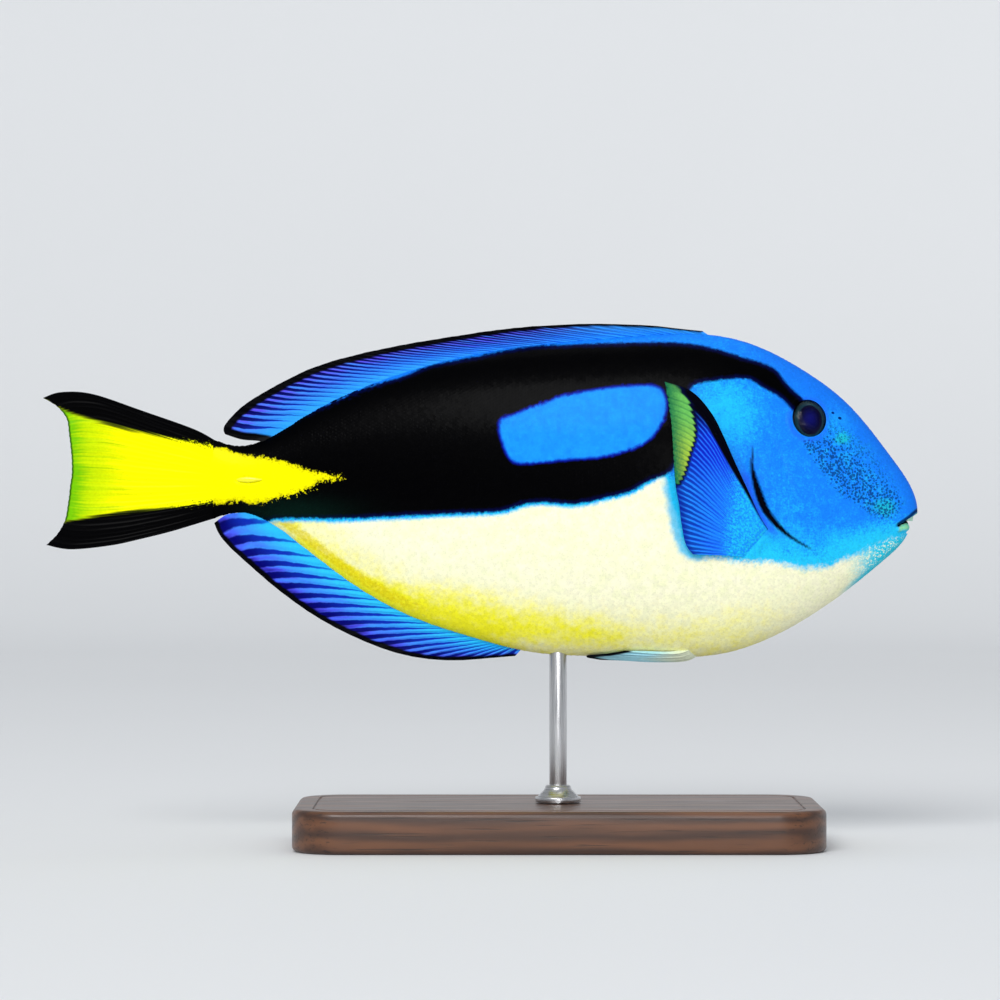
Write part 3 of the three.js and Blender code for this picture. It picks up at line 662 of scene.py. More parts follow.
def plus(tree, first, second, amount=1.0):
    """One value and an amount of another."""
    if amount != 1.0:
        second = times(tree, second, amount)
    return calc(tree, "ADD", first, second)


def step_of(tree, value, low, high, to_low=0.0, to_high=1.0):
    made = tree.nodes.new("ShaderNodeMapRange")
    made.interpolation_type = "SMOOTHSTEP"
    plug(tree, value, made.inputs["Value"])
    plug(tree, low, made.inputs["From Min"])
    plug(tree, high, made.inputs["From Max"])
    plug(tree, to_low, made.inputs["To Min"])
    plug(tree, to_high, made.inputs["To Max"])
    return made.outputs["Result"]


def blend(tree, share, under, over):
    made = tree.nodes.new("ShaderNodeMix")
    made.data_type = "RGBA"
    plug(tree, share, made.inputs[0])
    plug(tree, under, made.inputs[6])
    plug(tree, over, made.inputs[7])
    return made.outputs[2]


def kept_value(tree, name):
    made = tree.nodes.new("ShaderNodeAttribute")
    made.attribute_name = name
    return made.outputs["Fac"]


def grain(tree, scale, detail=2.0, rough=0.5, stretch=(1, 1, 1)):
    """Noise on the object's own coordinates, in cells for each metre."""
    where = tree.nodes.new("ShaderNodeTexCoord")
    frame_of = tree.nodes.new("ShaderNodeMapping")
    frame_of.inputs["Scale"].default_value = stretch
    tree.links.new(where.outputs["Object"], frame_of.inputs["Vector"])
    made = tree.nodes.new("ShaderNodeTexNoise")
    made.inputs["Scale"].default_value = scale
    made.inputs["Detail"].default_value = detail
    made.inputs["Roughness"].default_value = rough
    tree.links.new(frame_of.outputs["Vector"], made.inputs["Vector"])
    return made.outputs["Fac"]


def ripple(tree, scale, detail=2.0, rough=0.6):
    """Noise that is as often under 0 as over it."""
    return calc(tree, "SUBTRACT", grain(tree, scale, detail, rough), 0.5)


def cells(tree, scale, twist=0.0):
    """Distance from the middles of scattered cells, whose places are pulled about by a twist in metres."""
    where = tree.nodes.new("ShaderNodeTexCoord")
    drift = tree.nodes.new("ShaderNodeTexNoise")
    drift.inputs["Scale"].default_value = scale * 0.8
    moved = tree.nodes.new("ShaderNodeVectorMath")
    moved.operation = "MULTIPLY_ADD"
    tree.links.new(drift.outputs["Color"], moved.inputs[0])
    moved.inputs[1].default_value = (twist, twist, twist)
    tree.links.new(where.outputs["Object"], moved.inputs[2])
    tree.links.new(where.outputs["Object"], drift.inputs["Vector"])
    made = tree.nodes.new("ShaderNodeTexVoronoi")
    made.inputs["Scale"].default_value = scale
    tree.links.new(moved.outputs[0], made.inputs["Vector"])
    return made.outputs["Distance"]


def brighten(tree, surface, colour, value):
    """Gives a surface its colour, made lighter or darker by a value near 1."""
    lit = tree.nodes.new("ShaderNodeHueSaturation")
    tree.links.new(colour, lit.inputs["Color"])
    tree.links.new(value, lit.inputs["Value"])
    tree.links.new(lit.outputs["Color"], surface.inputs["Base Color"])


def raise_up(tree, surface, height, strength, distance):
    """Lets a pattern stand out of a surface, by a distance in metres."""
    bump = tree.nodes.new("ShaderNodeBump")
    bump.inputs["Strength"].default_value = strength
    bump.inputs["Distance"].default_value = distance
    tree.links.new(height, bump.inputs["Height"])
    tree.links.new(bump.outputs["Normal"], surface.inputs["Normal"])
    return bump


def moisten(surface):
    """The faint shine that the skin and the fins share."""
    surface.inputs["Specular IOR Level"].default_value = 0.015
    surface.inputs["Coat Weight"].default_value = 0.02
    surface.inputs["Coat Roughness"].default_value = 0.15


def dress(piece, finish):
    piece.data.materials.clear()
    piece.data.materials.append(finish)


skin_finish, tree, surface = new_finish("moist_fish_skin")
wander = ripple(tree, 330, 3)
ragged = ripple(tree, 1100)
stipple = ripple(tree, 1900)
glow = plus(tree, "glow", wander, 0.8)
glow = plus(tree, glow, stipple, 1.3)
glow = plus(tree, glow, "tone", 0.16)
colour = blend(tree, step_of(tree, glow, 0.0, 1.1), "#177ff6", "#22bffc")
# Painted shade: the blue turns darker along the top edge of the head.
colour = blend(tree, times(tree, "crown_shade", 0.8), colour, "#1874ea")
# Painted highlight: a violet-blue strip on the flank behind the gill slit.
colour = blend(tree, times(tree, "violet_highlight", 0.8), colour, "#2558f6")
freckle = kept_value(tree, "freckle")
tint = times(tree, step_of(tree, plus(tree, wander, stipple), -0.1, 0.3), freckle)
colour = blend(tree, times(tree, tint, 0.75), colour, "#22b2e8")
patch = plus(tree, "patch", stipple, 1.2)
colour = blend(tree, step_of(tree, patch, 0.25, 1.1, 0.0, 0.8), colour, "#20c6c4")
fleck = plus(tree, cells(tree, 1420, 0.0007), freckle, -0.16)
fleck = step_of(tree, fleck, 0.46, 0.24)
fleck = times(tree, fleck, step_of(tree, freckle, 0.02, 0.5))
colour = blend(tree, times(tree, fleck, 0.85), colour, "#083678")
colour = blend(tree, times(tree, "rim", 0.55), colour, "#2455f2")

front = kept_value(tree, "front")
shift = plus(tree, times(tree, ragged, 3.0), wander, 2.6)
shift = times(tree, shift, step_of(tree, front, 0.0, 1.0, 0.2, 1.0))
pale = plus(tree, "pale", shift)
cream = blend(tree, step_of(tree, wander, -0.3, 0.3), "#f6f7cc", "#fcf9dc")
warm = plus(tree, "warm", wander, 0.9)
cream = blend(tree, step_of(tree, warm, 0.12, 1.0), cream, "#faf52c")
hem = plus(tree, "hem", ragged, 1.2)
cream = blend(tree, times(tree, step_of(tree, hem, 0.3, 1.0), 0.75), cream, "#e6d214")
speck = step_of(tree, plus(tree, stipple, ragged, 0.6), -0.02, 0.16)
chin_blue = blend(tree, speck, "#2ad6f2", "#ecfbe4")
cream = blend(tree, step_of(tree, "chin", 0.0, 0.9), cream, chin_blue)
# Painted shade: the cream turns teal along the chin's lower edge, where it turns under.
cream = blend(tree, times(tree, "jaw", 0.85), cream, "#24c6e0")
fringe = plus(tree, pale, stipple, 9.0)
fringe_from = step_of(tree, front, 0.0, 1.0, -1.6, -6.5)
fringe = step_of(tree, fringe, fringe_from, step_of(tree, front, 0.0, 1.0, 0.4, -0.6))
colour = blend(tree, times(tree, fringe, 0.9), colour, "#26ccf8")
pale_from = step_of(tree, front, 0.0, 1.0, 0.1, -0.5)
pale_part = step_of(tree, pale, pale_from, step_of(tree, front, 0.0, 1.0, 1.5, 2.2))
colour = blend(tree, pale_part, colour, cream)
halo = plus(tree, "halo", wander, 0.8)
colour = blend(tree, step_of(tree, halo, 0.1, 0.9, 0.0, 0.85), colour, "#22c0ee")

dark = plus(tree, plus(tree, "band", wander, 0.5), ragged, 0.5)
black = blend(tree, step_of(tree, dark, 0.2, 1.8), "#030a44", "#000001")
black = blend(tree, times(tree, "moss", 0.9), black, "#031a14")
colour = blend(tree, step_of(tree, dark, -0.3, 0.65), colour, black)
oval = plus(tree, "oval", wander, 0.6)
oval_blue = blend(tree, step_of(tree, wander, -0.25, 0.25), "#178afa", "#1c99fe")
colour = blend(tree, step_of(tree, oval, -1.1, -0.1), colour, "#0a1fae")
colour = blend(tree, step_of(tree, oval, -0.5, 0.6), colour, oval_blue)
flecks = times(tree, ripple(tree, 1700), "rag")
yellow = plus(tree, "wedge", flecks, 4.4)
yellow = plus(tree, yellow, wander, 1.5)
yellow_blend = blend(tree, step_of(tree, yellow, 0.1, 1.6), "#e0d804", "#fdf900")
colour = blend(tree, step_of(tree, yellow, -0.25, 0.3), colour, yellow_blend)
lip_green = blend(tree, step_of(tree, wander, -0.1, 0.1), "#62cbb0", "#8fd08a")
colour = blend(tree, times(tree, "green", 0.9), colour, lip_green)
# Painted shadow: a dark navy line along the gap under the upper lip.
colour = blend(tree, times(tree, "lip", 0.95), colour, "#03204a")
# Dark skin with painted shadow: near-black along the gill slit, widest where it gapes.
colour = blend(tree, "slit_dark_and_shadow", colour, "#01010a")
# Painted shade: the faces of the cuts inside the mouth, the nostrils and the eye sockets are near-black,
# dark navy in the nostrils.
recess_shade = step_of(tree, "recess_shade", 0.35, 0.9)
recess_shade_colour = blend(tree, "nose", "#080a14", "#0c3c98")
colour = blend(tree, recess_shade, colour, recess_shade_colour)
light = step_of(tree, "tone", 0.0, 1.0, 0.95, 1.04)
pores = step_of(tree, cells(tree, 1500), 0.1, 0.6, 0.95, 1.03)
brighten(tree, surface, colour, times(tree, light, pores))
tree.links.new(step_of(tree, wander, -0.25, 0.25, 0.36, 0.46), surface.inputs["Roughness"])
raise_up(tree, surface, cells(tree, 1900), 0.25, 0.00006)
moisten(surface)
dress(skin, skin_finish)
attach(skin, "root")
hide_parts("head", "lower_jaw", "gill_cover_left", "gill_cover_right", "torso", "tail_stem")

# The scales are tiny and set in slanting rows, each over the front of the next, rough as fine sandpaper.
# One is modelled as a low cone on six corners and repeated over each side, smaller on the head and stem.
scale_length = 1.5
scale_width = 1.28
row_spacing = 0.9
place_spacing = 1.06
deselect()
bpy.ops.mesh.primitive_cone_add(vertices=6, radius1=0.5, radius2=0, depth=1, end_fill_type="NGON")
pattern = named("one_scale")
turn_faces()
edit_mode()
bpy.ops.mesh.quads_convert_to_tris()
object_mode()
cone = points_of(pattern.data)
cone_corners = np.empty(len(pattern.data.loops), dtype=np.int32)
pattern.data.loops.foreach_get("vertex_index", cone_corners)
cone_corners = cone_corners.reshape(-1, 3)
bpy.data.objects.remove(pattern)
tip = cone[:, 2] > 0
rearward = np.where(tip, 0.08, cone[:, 1] * np.where(cone[:, 1] > 0, 1.12, 0.95))
crosswise = cone[:, 0] * np.where(cone[:, 1] > 0, 1.05, 0.95)
scale_height = np.where(tip, 0.075, -0.03 + 0.13 * rearward)


def row_size(behind):
    """Spacing of the scales in mm."""
    return np.interp(behind, [0, 3, 9, 19, 27, 62, 76, 82], [0.55, 0.6, 0.68, 0.8, 1.0, 1.0, 0.85, 0.75])


def bare(behind, up):
    """Where no scales grow: round the eye, in the slit and the groove, at the mouth and the nostrils."""
    gill_gap, gill_near = from_line(np.stack([behind, up], axis=-1), gill_edge)
    gape = slit_gape(gill_near[:, 1])
    near_eye = eye_ring(behind, up) < 1.3
    in_slit = (np.abs(gill_gap - 0.2 * gape) < 0.6 + 1.15 * gape) & (gape > 0.004)
    in_groove = np.hypot(mm(behind - spine_place[0]) / 4.6, mm(up - spine_place[1]) / 1.7) < 1
    by_mouth = (behind < 3.6) & (up > -4.9) & (up < -1.0)
    by_nose = np.hypot(mm(behind - nose_place[0]), mm(up - nose_place[1])) < 1.9
    return near_eye | in_slit | in_groove | by_mouth | by_nose


def unit(ways):
    return ways / np.linalg.norm(ways, axis=1, keepdims=True)


def skin_way(behind, angle, step, turn):
    """How far the skin goes, and in which direction, from just before a place to just past it."""
    past = skin_surface(behind + step, angle + turn, scale_room)
    return past - skin_surface(behind - step, angle - turn, scale_room)


def lay_scales(name, side, front, rear, seed):
    """Covers one side of the body with scales, between two distances behind the snout."""
    draw = np.random.default_rng(seed)
    rows = []
    behind = front
    quarter = np.linspace(0.02, math.pi - 0.02, 500)
    while behind < rear:
        size = float(row_size(behind))
        section = skin_surface(np.full(len(quarter), behind), quarter, scale_room)
        run = np.concatenate([[0], np.cumsum(np.linalg.norm(np.diff(section, axis=0), axis=1))])
        middle = np.interp(math.pi / 2, quarter, run)
        places = (np.arange(-160, 160) + 0.5 * (len(rows) % 2)) * size * place_spacing + middle
        places = places[(places > 0.2) & (places < run[-1] - 0.2)]
        rows.append(np.stack([np.full(len(places), behind), np.interp(places, run, quarter)], axis=-1))
        behind += size * row_spacing * 100 / total_length
    behind, angle = np.vstack(rows).T
    behind = behind + draw.normal(0, 0.02, len(behind))
    at = skin_surface(behind, angle, scale_room)
    up = side_view(at)[1]
    keep = ~bare(behind, up)
    behind, angle, at, up = behind[keep], angle[keep], at[keep], up[keep]
    count = len(behind)
    rear_way = unit(skin_way(behind, angle, 0.12, 0))
    out_way = unit(np.cross(rear_way, skin_way(behind, angle, 0, 0.006)))
    cross_way = np.cross(out_way, rear_way)
    size = row_size(behind) * draw.uniform(0.92, 1.08, count)
    twist = draw.normal(0, 0.1, count)[:, None]
    long_way = rear_way * np.cos(twist) + cross_way * np.sin(twist)
    wide_way = cross_way * np.cos(twist) - rear_way * np.sin(twist)
    lift = draw.uniform(0.85, 1.15, count)[:, None, None] * (0.55 + 0.45 * size)[:, None, None]
    mesh_points = (
        at[:, None, :]
        + long_way[:, None, :] * (rearward[None, :, None] * size[:, None, None] * scale_length)
        + wide_way[:, None, :] * (crosswise[None, :, None] * size[:, None, None] * scale_width)
        + out_way[:, None, :] * (scale_height[None, :, None] * lift)
    )
    mesh_points[:, :, 1] *= side
    corners = cone_corners if side > 0 else cone_corners[:, ::-1]
    faces = (corners[None, :, :] + len(cone) * np.arange(count)[:, None, None]).reshape(-1)
    mesh = bpy.data.meshes.new(name)
    mesh.vertices.add(count * len(cone))
    mesh.loops.add(len(faces))
    mesh.polygons.add(len(faces) // 3)
    mesh.vertices.foreach_set("co", (mesh_points / 1000).astype(np.float32).ravel())
    mesh.loops.foreach_set("vertex_index", faces.astype(np.int32))
    mesh.polygons.foreach_set("loop_start", np.arange(0, len(faces), 3, dtype=np.int32))
    mesh.update(calc_edges=True)
    mesh.validate()
    jitter = draw.normal(0, 0.03, count) * np.where((behind > 62) & (up > -1.8), 3, 1)
    marked(mesh, *side_view(mesh_points.reshape(-1, 3)), np.repeat(jitter, len(cone)))
    give(mesh, "slit_dark_and_shadow", np.zeros(count * len(cone)))
    give(mesh, "tone", np.repeat(draw.uniform(0, 1, count), len(cone)))
    give(mesh, "recess_shade", np.zeros(count * len(cone)))
    spread = np.stack([(behind - front) / (rear - front), angle / math.pi], axis=-1)
    patch = np.stack([rearward, crosswise], axis=-1) * 0.003
    spots = 0.003 + 0.994 * spread[:, None, :] + patch[None, :, :]
    room = mesh.uv_layers.new(name="OFBake")
    room.data.foreach_set("uv", spots.reshape(-1, 2)[faces].astype(np.float32).ravel())
    piece = bpy.data.objects.new(name, mesh)
    bpy.context.collection.objects.link(piece)
    pick(piece)
    bpy.ops.object.shade_smooth_by_angle(angle=math.radians(60))
    dress(piece, skin_finish)
    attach(piece, "root")


for side, hand in ((1, "left"), (-1, "right")):
    lay_scales(f"head_scales_{hand}", side, 0.9, 24.0, 31 + side)
    lay_scales(f"flank_scales_{hand}", side, 24.0, 80.6, 41 + side)

# The fins are thin webs held open by rays. Each is a flat grid set out in rays between its root and its
# free edge, given its thickness, most along the rays, and rounded off. Soft rays split in two halfway out.


def along_curve(points):
    """Gives the point at any share of a curve's length, for side-view points."""
    line = smooth_line(points, 40)
    run = np.concatenate([[0], np.cumsum(np.hypot(*np.diff(line, axis=0).T))])

    def at(share):
        return np.stack([np.interp(share * run[-1], run, line[:, i]) for i in (0, 1)], axis=-1)

    return at


def bow(ray, out):
    """How far a bent ray lies off the straight line between its ends."""
    if ray is None:
        return 0
    out = out[:, 0]
    return ray(out) - (ray(0 * out) * (1 - out[:, None]) + ray(0 * out + 1) * out[:, None])


def rayed_fin(
    name, rays, unbranched, rows, root, edge, place, blade,
    first_ray=None, last_ray=None, wave=0.0, notch=0.005,
):
    """A closed fin sheet. Its blade is how thick it is in mm: web, ray, root and edge."""
    streaks = unbranched + 2 * (rays - 1 - unbranched)
    deselect()
    bpy.ops.mesh.primitive_grid_add(x_subdivisions=6 * streaks, y_subdivisions=rows, size=1)
    piece = named(name)
    flat = points_of(piece.data)
    out = np.clip(flat[:, 1] + 0.5, 0, 1)
    streak = (flat[:, 0] + 0.5) * streaks
    ray = np.where(streak < unbranched, streak, unbranched + (streak - unbranched) / 2)
    way = ray / (rays - 1)
    crest = (0.5 + 0.5 * np.cos(2 * math.pi * streak)) ** 1.5
    stem = (0.5 + 0.5 * np.cos(2 * math.pi * ray)) ** 3
    crest = stem + (crest - stem) * np.where(ray > unbranched, ease(0.2, 0.55, out), 0)
    reach = out[:, None] * (1 - notch * ((1 - crest) * out ** 8)[:, None])
    start = root(way)
    end = edge(way)
    point = start * (1 - reach) + end * reach
    point = point + bow(first_ray, reach) * (1 - way[:, None]) ** 2
    point = point + bow(last_ray, reach) * way[:, None] ** 2
    web, on_ray, at_root, at_edge = blade
    fleshy = np.clip(1 - 2.6 * out, 0, 1) ** 2
    thick = web + (on_ray - web) * crest
    thick = thick + (at_edge - thick) * ease(0.55, 1.0, out) * 0.85 + (at_root - thick) * fleshy
    sway = wave * out ** 2 * np.sin(way * 11 + 0.6) + 0.12 * out * np.sin(streak * 1.7)
    set_points(piece.data, place(point, start, sway) / 1000)
    most = float(thick.max())
    group = piece.vertex_groups.new(name="thick")
    for i, share in enumerate(thick / most):
        group.add([i], float(share), "REPLACE")
    give(piece.data, "streak", streak)
    give(piece.data, "out", out)
    give(piece.data, "margin", (1 - out) * mm(np.hypot(*(end - start).T)))
    give(piece.data, "side_behind", point[:, 0])
    give(piece.data, "side_up", point[:, 1])
    walls = piece.modifiers.new("walls", "SOLIDIFY")
    walls.thickness = most / 1000
    walls.offset = 0
    walls.vertex_group = "thick"
    walls.use_quality_normals = True
    apply_all(piece)
    piece.vertex_groups.clear()
    turn_faces()
    bpy.ops.object.shade_smooth_by_angle(angle=math.radians(55))
    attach(piece, "root")
    return piece


def other_side(piece, name):
    """The mirror image of a left piece, for the right side."""
    copy = piece.copy()
    copy.data = piece.data.copy()
    copy.name = name
    copy.data.name = name
    bpy.context.collection.objects.link(copy)
    points = points_of(copy.data)
    points[:, 1] *= -1
    set_points(copy.data, points)
    copy.data.flip_normals()
    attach(copy, "root")
    return copy


def side_values(piece, name, made):
    """Stores a value made from the side-view place of each point of a fin."""
    kept = []
    for key in ("side_behind", "side_up"):
        values = np.empty(len(piece.data.vertices), dtype=np.float32)
        piece.data.attributes[key].data.foreach_get("value", values)
        kept.append(values.astype(float))
    give(piece.data, name, made(np.stack(kept, axis=-1)))


def upright(point, start, sway):
    return np.stack(space(point[:, 0], sway, point[:, 1]), axis=-1)


def ray_streaks():
    """A shader group that tells the webs between the rays from the rays."""
    group = bpy.data.node_groups.new("ray_streaks", "ShaderNodeTree")
    for name in ("Streak", "Out", "Start", "Width", "Wander"):
        group.interface.new_socket(name, in_out="INPUT", socket_type="NodeSocketFloat")
    for name in ("Web", "Crest"):
        group.interface.new_socket(name, in_out="OUTPUT", socket_type="NodeSocketFloat")
    entry = group.nodes.new("NodeGroupInput").outputs
    result = group.nodes.new("NodeGroupOutput").inputs
    shake = times(group, ripple(group, 420, 2, 0.5), entry["Wander"])
    part = calc(group, "FRACT", plus(group, entry["Streak"], shake))
    crest = times(group, calc(group, "ABSOLUTE", calc(group, "SUBTRACT", part, 0.5)), 2.0)
    open_at = step_of(group, entry["Out"], entry["Start"], 1.0)
    width = times(group, open_at, entry["Width"])
    soft = calc(group, "SUBTRACT", width, 0.25)
    plug(group, step_of(group, crest, width, soft), result["Web"])
    plug(group, crest, result["Crest"])
    return group


streak_group = ray_streaks()


def threads_of(tree, across, along, detail=2.0):
    """Fine noise drawn out along a fin's rays, so many cells to a ray and along its length."""
    spot = tree.nodes.new("ShaderNodeCombineXYZ")
    tree.links.new(times(tree, "streak", across), spot.inputs[0])
    tree.links.new(times(tree, "out", along), spot.inputs[1])
    made = tree.nodes.new("ShaderNodeTexNoise")
    made.inputs["Scale"].default_value = 1.0
    made.inputs["Detail"].default_value = detail
    tree.links.new(spot.outputs[0], made.inputs["Vector"])
    return calc(tree, "SUBTRACT", made.outputs["Fac"], 0.5)


def streaks(tree, start, width, wander=0.12):
    """Where the webs between a fin's rays show, and how high its rays stand."""
    made = tree.nodes.new("ShaderNodeGroup")
    made.node_tree = streak_group
    plug(tree, "streak", made.inputs["Streak"])
    plug(tree, "out", made.inputs["Out"])
    made.inputs["Start"].default_value = start
    made.inputs["Width"].default_value = width
    made.inputs["Wander"].default_value = wander
    return made.outputs["Web"], made.outputs["Crest"]


def finish_fin(tree, surface, colour, crest, rib=0.35):
    """The sheen and fine ribs that all the fins share."""
    brighten(tree, surface, colour, step_of(tree, grain(tree, 1500, 2, 0.6), 0.25, 0.75, 0.94, 1.04))
    tree.links.new(step_of(tree, crest, 0.0, 1.0, 0.5, 0.38), surface.inputs["Roughness"])
    raise_up(tree, surface, step_of(tree, crest, 0.45, 0.95), rib, 0.00012)
    moisten(surface)


# The dorsal fin runs along nearly the whole back: nine spines and then twenty soft rays. It is light blue
# at the root and violet further out, between navy webs, with a black margin that broadens to the tail.
dorsal_edge = along_curve([
    (24.6, 18.75), (27.2, 19), (31.2, 19.4), (36.3, 19.55), (42, 19.4), (47.7, 18.9), (53.5, 18.05),
    (59.2, 17.1), (64.9, 15.85), (69.5, 14.4), (74, 12.15), (77.1, 10.2), (78.9, 8.4), (79.35, 7.5),
    (79.15, 6.95),
])
dorsal_last = along_curve([(73.7, 5.8), (75.4, 6.15), (77.3, 6.35), (79.15, 6.95)])


def dorsal_root(way):
    ways = [0, 0.08, 0.17, 0.27, 0.471, 0.679, 0.861, 0.965, 1]
    behind = np.interp(way, ways, [22.3, 23.3, 25, 28.5, 40.5, 53, 64, 70.4, 73.7])
    return np.stack([behind, back(behind) - 1], axis=-1)


long_fin_blade = (0.6, 1.3, 3.3, 0.45)
dorsal = rayed_fin(
    "dorsal_web", rays=29, unbranched=8, rows=34, root=dorsal_root,
    edge=lambda way: dorsal_edge(way ** 0.92), place=upright, blade=long_fin_blade, last_ray=dorsal_last,
    wave=0.5, notch=0.002,
)
dorsal_rim = np.vstack([dorsal_edge(np.linspace(0, 1, 90)), dorsal_last(np.linspace(1, 0, 20))])
dorsal_black = ([24, 32, 42, 58, 72, 80], [0.35, 0.6, 0.9, 1.5, 2, 2.2])
side_values(dorsal, "rim_gap", lambda at: np.abs(from_line(at, dorsal_rim)[0]))
side_values(dorsal, "black", lambda at: np.interp(at[:, 0], *dorsal_black))
side_values(dorsal, "front", lambda at: ease(48, 30, at[:, 0]))
dorsal_finish, tree, surface = new_finish("blue_back_fin")
web, crest = streaks(tree, -0.1, 0.8, 0.25)
out = kept_value(tree, "out")
threads = threads_of(tree, 1.7, 3.0)
colour = blend(tree, step_of(tree, out, 0.15, 0.7), "#2ca0f8", "#4088fa")
colour = blend(tree, step_of(tree, plus(tree, out, threads), 0.55, 0.95), colour, "#5a50f0")
colour = blend(tree, times(tree, "front", 0.85), colour, "#2aa4f8")
navy = blend(tree, step_of(tree, out, 0.35, 0.85), "#0c2cae", "#04045c")
soft_web = calc(tree, "SUBTRACT", 1.0, times(tree, "front", 0.6))
colour = blend(tree, times(tree, web, soft_web), colour, navy)
inside = plus(tree, calc(tree, "SUBTRACT", "black", "rim_gap"), threads, 0.8)
colour = blend(tree, step_of(tree, inside, -0.45, 0.3), colour, "#010104")
finish_fin(tree, surface, colour, crest)
dress(dorsal, dorsal_finish)
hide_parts("dorsal_fin")

# The anal fin mirrors it under the rear half of the belly: three spines and nineteen soft rays, cyan at the
# root, blue and violet further out, with one navy streak for each web and a thin black margin.
anal_edge = along_curve([
    (46, -18.4), (49.2, -18.65), (52.7, -18.9), (55.8, -18.75), (59.2, -18.15), (62.6, -17),
    (66.3, -15.3), (69.5, -13.45), (72.9, -11), (75.5, -8.8), (78.6, -6), (79.9, -4.4), (80.4, -3.2),
])
anal_last = along_curve([(74.2, -2.1), (75.6, -2), (77.2, -2), (79, -2.25), (80.4, -3.2)])


def anal_root(way):
    ways = [0, 0.17, 0.337, 0.53, 0.66, 0.73, 0.875, 0.93, 1]
    behind = np.interp(way, ways, [44.6, 45.6, 46.9, 51.9, 58.2, 61.0, 67.0, 69.6, 74.2])
    return np.stack([behind, belly(behind) + 1], axis=-1)


anal = rayed_fin(
    "anal_web", rays=22, unbranched=21, rows=34, root=anal_root,
    edge=lambda way: anal_edge(way ** 0.97), place=upright, blade=long_fin_blade, last_ray=anal_last,
    wave=0.4, notch=0.002,
)
anal_rim = anal_edge(np.linspace(0, 1, 80))
anal_black = ([44, 50, 60, 76, 80], [0.5, 0.9, 1.4, 1.5, 1.2])
side_values(anal, "rim_gap", lambda at: np.abs(from_line(at, anal_rim)[0]))
side_values(anal, "black", lambda at: np.interp(at[:, 0], *anal_black))
anal_finish, tree, surface = new_finish("blue_belly_fin")
web, crest = streaks(tree, -0.35, 0.72, 0.22)
out = kept_value(tree, "out")
threads = threads_of(tree, 1.7, 3.0)
colour = blend(tree, step_of(tree, out, 0.25, 0.65), "#2cbef8", "#3a92fa")
far_out = plus(tree, out, threads, 0.6)
colour = blend(tree, step_of(tree, far_out, 0.55, 0.95), colour, "#4a46ea")
navy = blend(tree, step_of(tree, out, 0.1, 0.5), "#1678e0", "#0c2cae")
navy = blend(tree, step_of(tree, out, 0.5, 0.9), navy, "#02026a")
colour = blend(tree, web, colour, navy)
deep = times(tree, step_of(tree, far_out, 0.8, 1.05), 0.8)
colour = blend(tree, deep, colour, "#04044c")
inside = plus(tree, calc(tree, "SUBTRACT", "black", "rim_gap"), threads, 0.8)
colour = blend(tree, step_of(tree, inside, -0.4, 0.3), colour, "#010104")
finish_fin(tree, surface, colour, crest)
dress(anal, anal_finish)
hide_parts("anal_fin")

# The tail fin is a clear yellow fan, greener at its hollow rear edge, between two black lobes. Its root is
# as thick as the stem and grows out of it.
tail_top = along_curve([(80.5, 6.35), (82.9, 7.6), (88.7, 9.65), (94.4, 11.55), (98, 11.75), (100, 11.1)])
tail_low = along_curve([(80.5, -2.7), (85.1, -4.1), (88.7, -5), (92.2, -5.75), (96.8, -6.2), (99.6, -5.7)])
tail_edge = along_curve([
    (100, 11.1), (98.4, 10.1), (97.3, 8.7), (97, 6.8), (96.75, 4.6), (96.7, 2.6), (96.9, 1.1),
    (97.1, -0.6), (97.5, -2.9), (98.4, -4.5), (99.6, -5.7),
])
tail_ring = smooth_line([
    (78, 5.3), (80.45, 5.77), (84, 6.4), (88.7, 7.3), (93.4, 8.46), (95.9, 9.26), (98.33, 10.1),
    (103, 11.6), (103, -4.4), (97.4, -3.2), (93.4, -2.5), (88.7, -1.83), (84, -1.37), (81.6, -1.03),
    (78, -0.7),
], 4)


def tail_root(way):
    top = tail_top(np.zeros(len(way)))
    low = tail_low(np.zeros(len(way)))
    return top * (1 - way[:, None]) + low * way[:, None]


tail = rayed_fin(
    "tail_web", rays=16, unbranched=1, rows=56, root=tail_root, edge=tail_edge, place=upright,
    blade=(0.7, 0.95, 4.3, 0.5), first_ray=tail_top, last_ray=tail_low, wave=0.3, notch=0.002,
)
side_values(tail, "yellow_part", lambda at: within(at, tail_ring))
tail_finish, tree, surface = new_finish("yellow_tail_fin")
crest = streaks(tree, 0.1, 0.5)[1]
out = kept_value(tree, "out")
fine = threads_of(tree, 2.6, 2.2, 3)
broad = threads_of(tree, 0.6, 1.6)
flecks = ripple(tree, 1700)
far_out = plus(tree, plus(tree, out, fine, 0.3), broad, 0.16)
colour = blend(tree, step_of(tree, far_out, 0.55, 0.92), "#fdfa00", "#c2e205")
colour = blend(tree, step_of(tree, far_out, 0.86, 1.0), colour, "#74c408")
lines = times(tree, step_of(tree, fine, 0.06, 0.2), step_of(tree, out, 0.3, 0.9))
colour = blend(tree, times(tree, lines, 0.5), colour, "#8db004")
rim_green = step_of(tree, "margin", 0.75, 0.25, 0.0, 0.85)
colour = blend(tree, rim_green, colour, "#143a08")
near_stem = step_of(tree, out, 0.45, 0.0)
edge_way = plus(tree, "yellow_part", fine, 2.6)
edge_way = plus(tree, edge_way, times(tree, flecks, near_stem), 4.4)
colour = blend(tree, step_of(tree, edge_way, 0.9, 0.2), colour, "#5f6a04")
colour = blend(tree, step_of(tree, edge_way, 0.4, -0.2), colour, "#010102")
finish_fin(tree, surface, colour, crest, 0.15)
dress(tail, tail_finish)
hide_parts("tail_fin")

